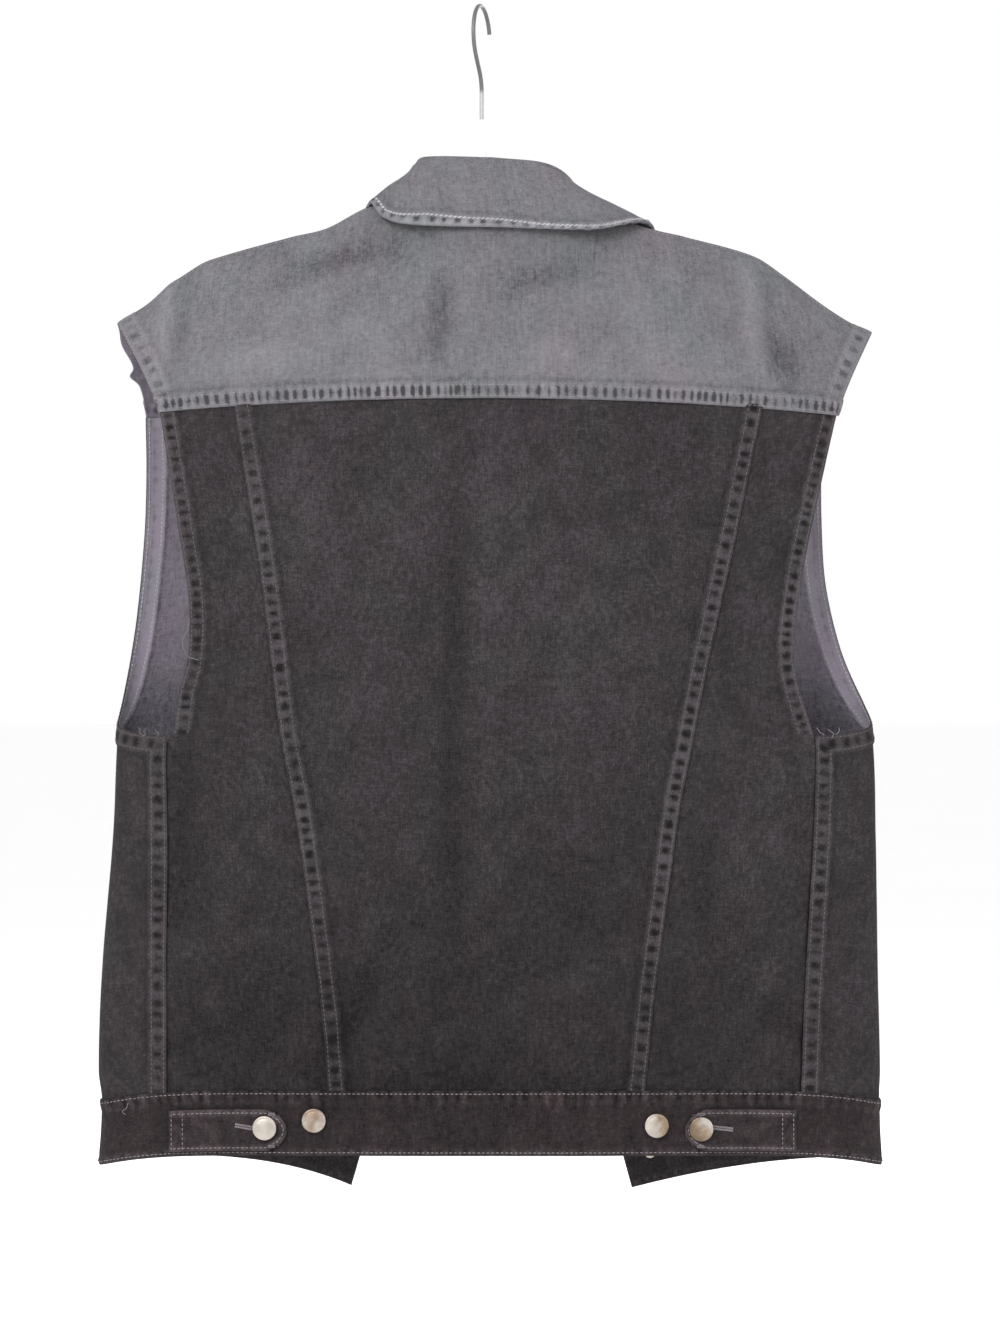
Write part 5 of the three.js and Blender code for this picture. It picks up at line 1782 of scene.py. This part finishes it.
class VEST_OT_hanger(VestOperator):
    """Plastic hanger with its wire hook, which carries the whole garment."""

    bl_idname = "vest.hanger"
    bl_label = "Hanger"

    def make(self):
        self.arms()
        self.neck()
        self.hook()

    def arms(self):
        """Rounded arms, lofted from end to end through sections that follow the shoulders."""
        maker = bmesh.new()
        corners, sections = 28, 120
        bmesh.ops.create_grid(maker, x_segments=corners, y_segments=sections, size=0.5)
        for vertex in maker.verts:
            vertex.co = self.arm_place(vertex.co.x + 0.5, vertex.co.y + 0.5)
        bmesh.ops.remove_doubles(maker, verts=maker.verts, dist=1e-6)
        bmesh.ops.holes_fill(maker, edges=[edge for edge in maker.edges if edge.is_boundary])
        bmesh.ops.recalc_face_normals(maker, faces=maker.faces)
        mesh = made_mesh("hanger_arms", maker, "hanger_plastic")
        add_piece("hanger_arms_plastic", mesh, "hanger_plastic", "hanger_arms")

    def arm_place(self, round_share, long_share):
        x = lerp(ARM_ENDS[RIGHT], ARM_ENDS[LEFT], long_share)
        from_end = min(x - ARM_ENDS[RIGHT], ARM_ENDS[LEFT] - x)
        end = np.clip(np.sqrt(max(from_end, 0) / END_ROUND), 0.35, 1)
        top, in_neck = arm_top(np.array(x))
        tall = lerp(ARM_TALL, HUB_TALL, in_neck)
        angle = round_share * 2 * np.pi
        y = ARM_THICK / 2 * end * np.sin(angle)
        z = top - tall / 2 + tall / 2 * end * np.cos(angle)
        return Vector((x, y, float(z))) * MM

    def neck(self):
        foot = float(arm_top(np.array(0.0))[0]) + SEAM_GAP
        socket = WIRE_RADIUS + SEAM_GAP
        profile = table(
            "out up",
            (0, foot),
            (NECK_FOOT_RADIUS - 0.6, foot),
            (NECK_FOOT_RADIUS, foot + 0.6),
            (lerp(NECK_FOOT_RADIUS, NECK_RADIUS, 0.6), foot + NECK_TAPER * 0.45),
            (NECK_RADIUS, foot + NECK_TAPER),
            (NECK_RADIUS, NECK_TOP - 1),
            (NECK_RADIUS - 0.3, NECK_TOP - 0.3),
            (NECK_RADIUS - 1, NECK_TOP),
            (socket, NECK_TOP),
            (socket, NECK_TOP - WIRE_SOCKET),
            (0, NECK_TOP - WIRE_SOCKET),
        )
        mesh = turned_mesh("hanger_neck", profile, 40, "hanger_plastic")
        add_piece("hanger_neck_plastic", mesh, "hanger_plastic", "hanger_neck")

    def hook(self):
        """Wire bent to a hook in an upright plane, with its foot in the neck's socket."""
        mesh = wire_mesh("hanger_hook", [self.hook_places()], WIRE_RADIUS, 5, "hook_wire")
        add_piece("hanger_hook_wire", mesh, "hook_wire", "hanger_hook")

    def hook_places(self):
        centre = -HOOK_RADIUS + WIRE_RADIUS
        angles = np.radians(np.linspace(HOOK_TIP_ANGLE, HOOK_FOOT_ANGLE, 60))
        out = HOOK_RADIUS * np.cos(angles)
        up = centre + HOOK_RADIUS * np.sin(angles)
        foot = angles[-1]
        bend = [
            (out[-1], up[-1]),
            (out[-1] + HOOK_BEND * np.sin(foot), up[-1] - HOOK_BEND * np.cos(foot)),
            (0, HOOK_SHAFT_TOP + HOOK_BEND),
            (0, HOOK_SHAFT_TOP),
        ]
        part = np.linspace(0, 1, 20)[1:, None]
        start, first, second, stop = (np.array(place) for place in bend)
        ends = (1 - part) ** 3 * start + part ** 3 * stop
        curve = ends + 3 * (1 - part) ** 2 * part * first + 3 * (1 - part) * part ** 2 * second
        shaft = [(0, (HOOK_SHAFT_TOP + NECK_TOP) / 2), (0, NECK_TOP - WIRE_SOCKET + SEAM_GAP)]
        flat = np.concatenate([np.stack([out, up], axis=1), curve, shaft])
        turn = np.radians(HOOK_TURN)
        return np.stack([flat[:, 0] * np.cos(turn), flat[:, 0] * np.sin(turn), flat[:, 1]], axis=1)


class VEST_OT_stage(VestOperator):
    """Pale floor, soft studio light and the camera."""

    bl_idname = "vest.stage"
    bl_label = "Stage"

    def make(self):
        self.floor()
        self.world()
        for row in LAMPS:
            self.lamp(*row)
        self.camera()

    def floor(self):
        maker = bmesh.new()
        bmesh.ops.create_grid(maker, x_segments=2, y_segments=2, size=30)
        bmesh.ops.translate(maker, verts=maker.verts, vec=(0, 0, (HEM_LEVEL - FLOOR_DROP) * MM))
        floor = add_object("floor", made_mesh("floor", maker, "plain_floor"))

    def world(self):
        world = bpy.data.worlds.new("studio")
        world.use_nodes = True
        background = world.node_tree.nodes["Background"]
        background.inputs["Color"].default_value = (1, 1, 1, 1)
        background.inputs["Strength"].default_value = 1.0
        bpy.context.scene.world = world
        bpy.context.scene.view_settings.view_transform = "Standard"

    def lamp(self, name, place, size, power):
        light = bpy.data.lights.new(name, "AREA")
        light.shape = "DISK"
        light.size = size * MM
        light.energy = power
        lamp = add_object(name, light)
        lamp.location = Vector(place) * MM
        aim = Vector((0, 0, HEM_LEVEL / 2)) * MM - lamp.location
        lamp.rotation_euler = aim.to_track_quat("-Z", "Y").to_euler()

    def camera(self):
        camera = bpy.data.cameras.new("camera")
        camera.sensor_fit = "VERTICAL"
        camera.angle_y = np.radians(CAMERA_VIEW)
        camera.clip_end = 100
        holder = add_object("camera", camera)
        holder.location = Vector(CAMERA_PLACE) * MM
        holder.rotation_euler = (np.pi / 2, 0, np.pi)
        bpy.context.scene.camera = holder


MAKERS = (
    VEST_OT_back_panels,
    VEST_OT_front_panels,
    VEST_OT_yokes,
    VEST_OT_plackets,
    VEST_OT_collar,
    VEST_OT_waistband,
    VEST_OT_tabs,
    VEST_OT_loose_threads,
    VEST_OT_buttons,
    VEST_OT_hanger,
    VEST_OT_stage,
)


class VEST_PT_sidebar(bpy.types.Panel):
    """The vest's pieces, colours and sizes."""

    bl_label = "Denim Vest"
    bl_space_type = "VIEW_3D"
    bl_region_type = "UI"
    bl_category = "Vest"

    def draw(self, context):
        for group in (context.scene.vest_sizes, context.scene.vest_colours):
            for name in group.bl_rna.properties.keys():
                if name not in ("rna_type", "name"):
                    self.layout.prop(group, name)
        for maker in MAKERS:
            self.layout.operator(maker.bl_idname)


CLASSES = (VestColours, VestSizes, *MAKERS, VEST_PT_sidebar)


def register():
    for each in CLASSES:
        bpy.utils.register_class(each)
    bpy.types.Scene.vest_colours = PointerProperty(type=VestColours)
    bpy.types.Scene.vest_sizes = PointerProperty(type=VestSizes)


def unregister():
    del bpy.types.Scene.vest_sizes
    del bpy.types.Scene.vest_colours
    for each in reversed(CLASSES):
        bpy.utils.unregister_class(each)


def main():
    register()
    for maker in MAKERS:
        group, name = maker.bl_idname.split(".")
        getattr(getattr(bpy.ops, group), name)()


if __name__ == "__main__":
    main()
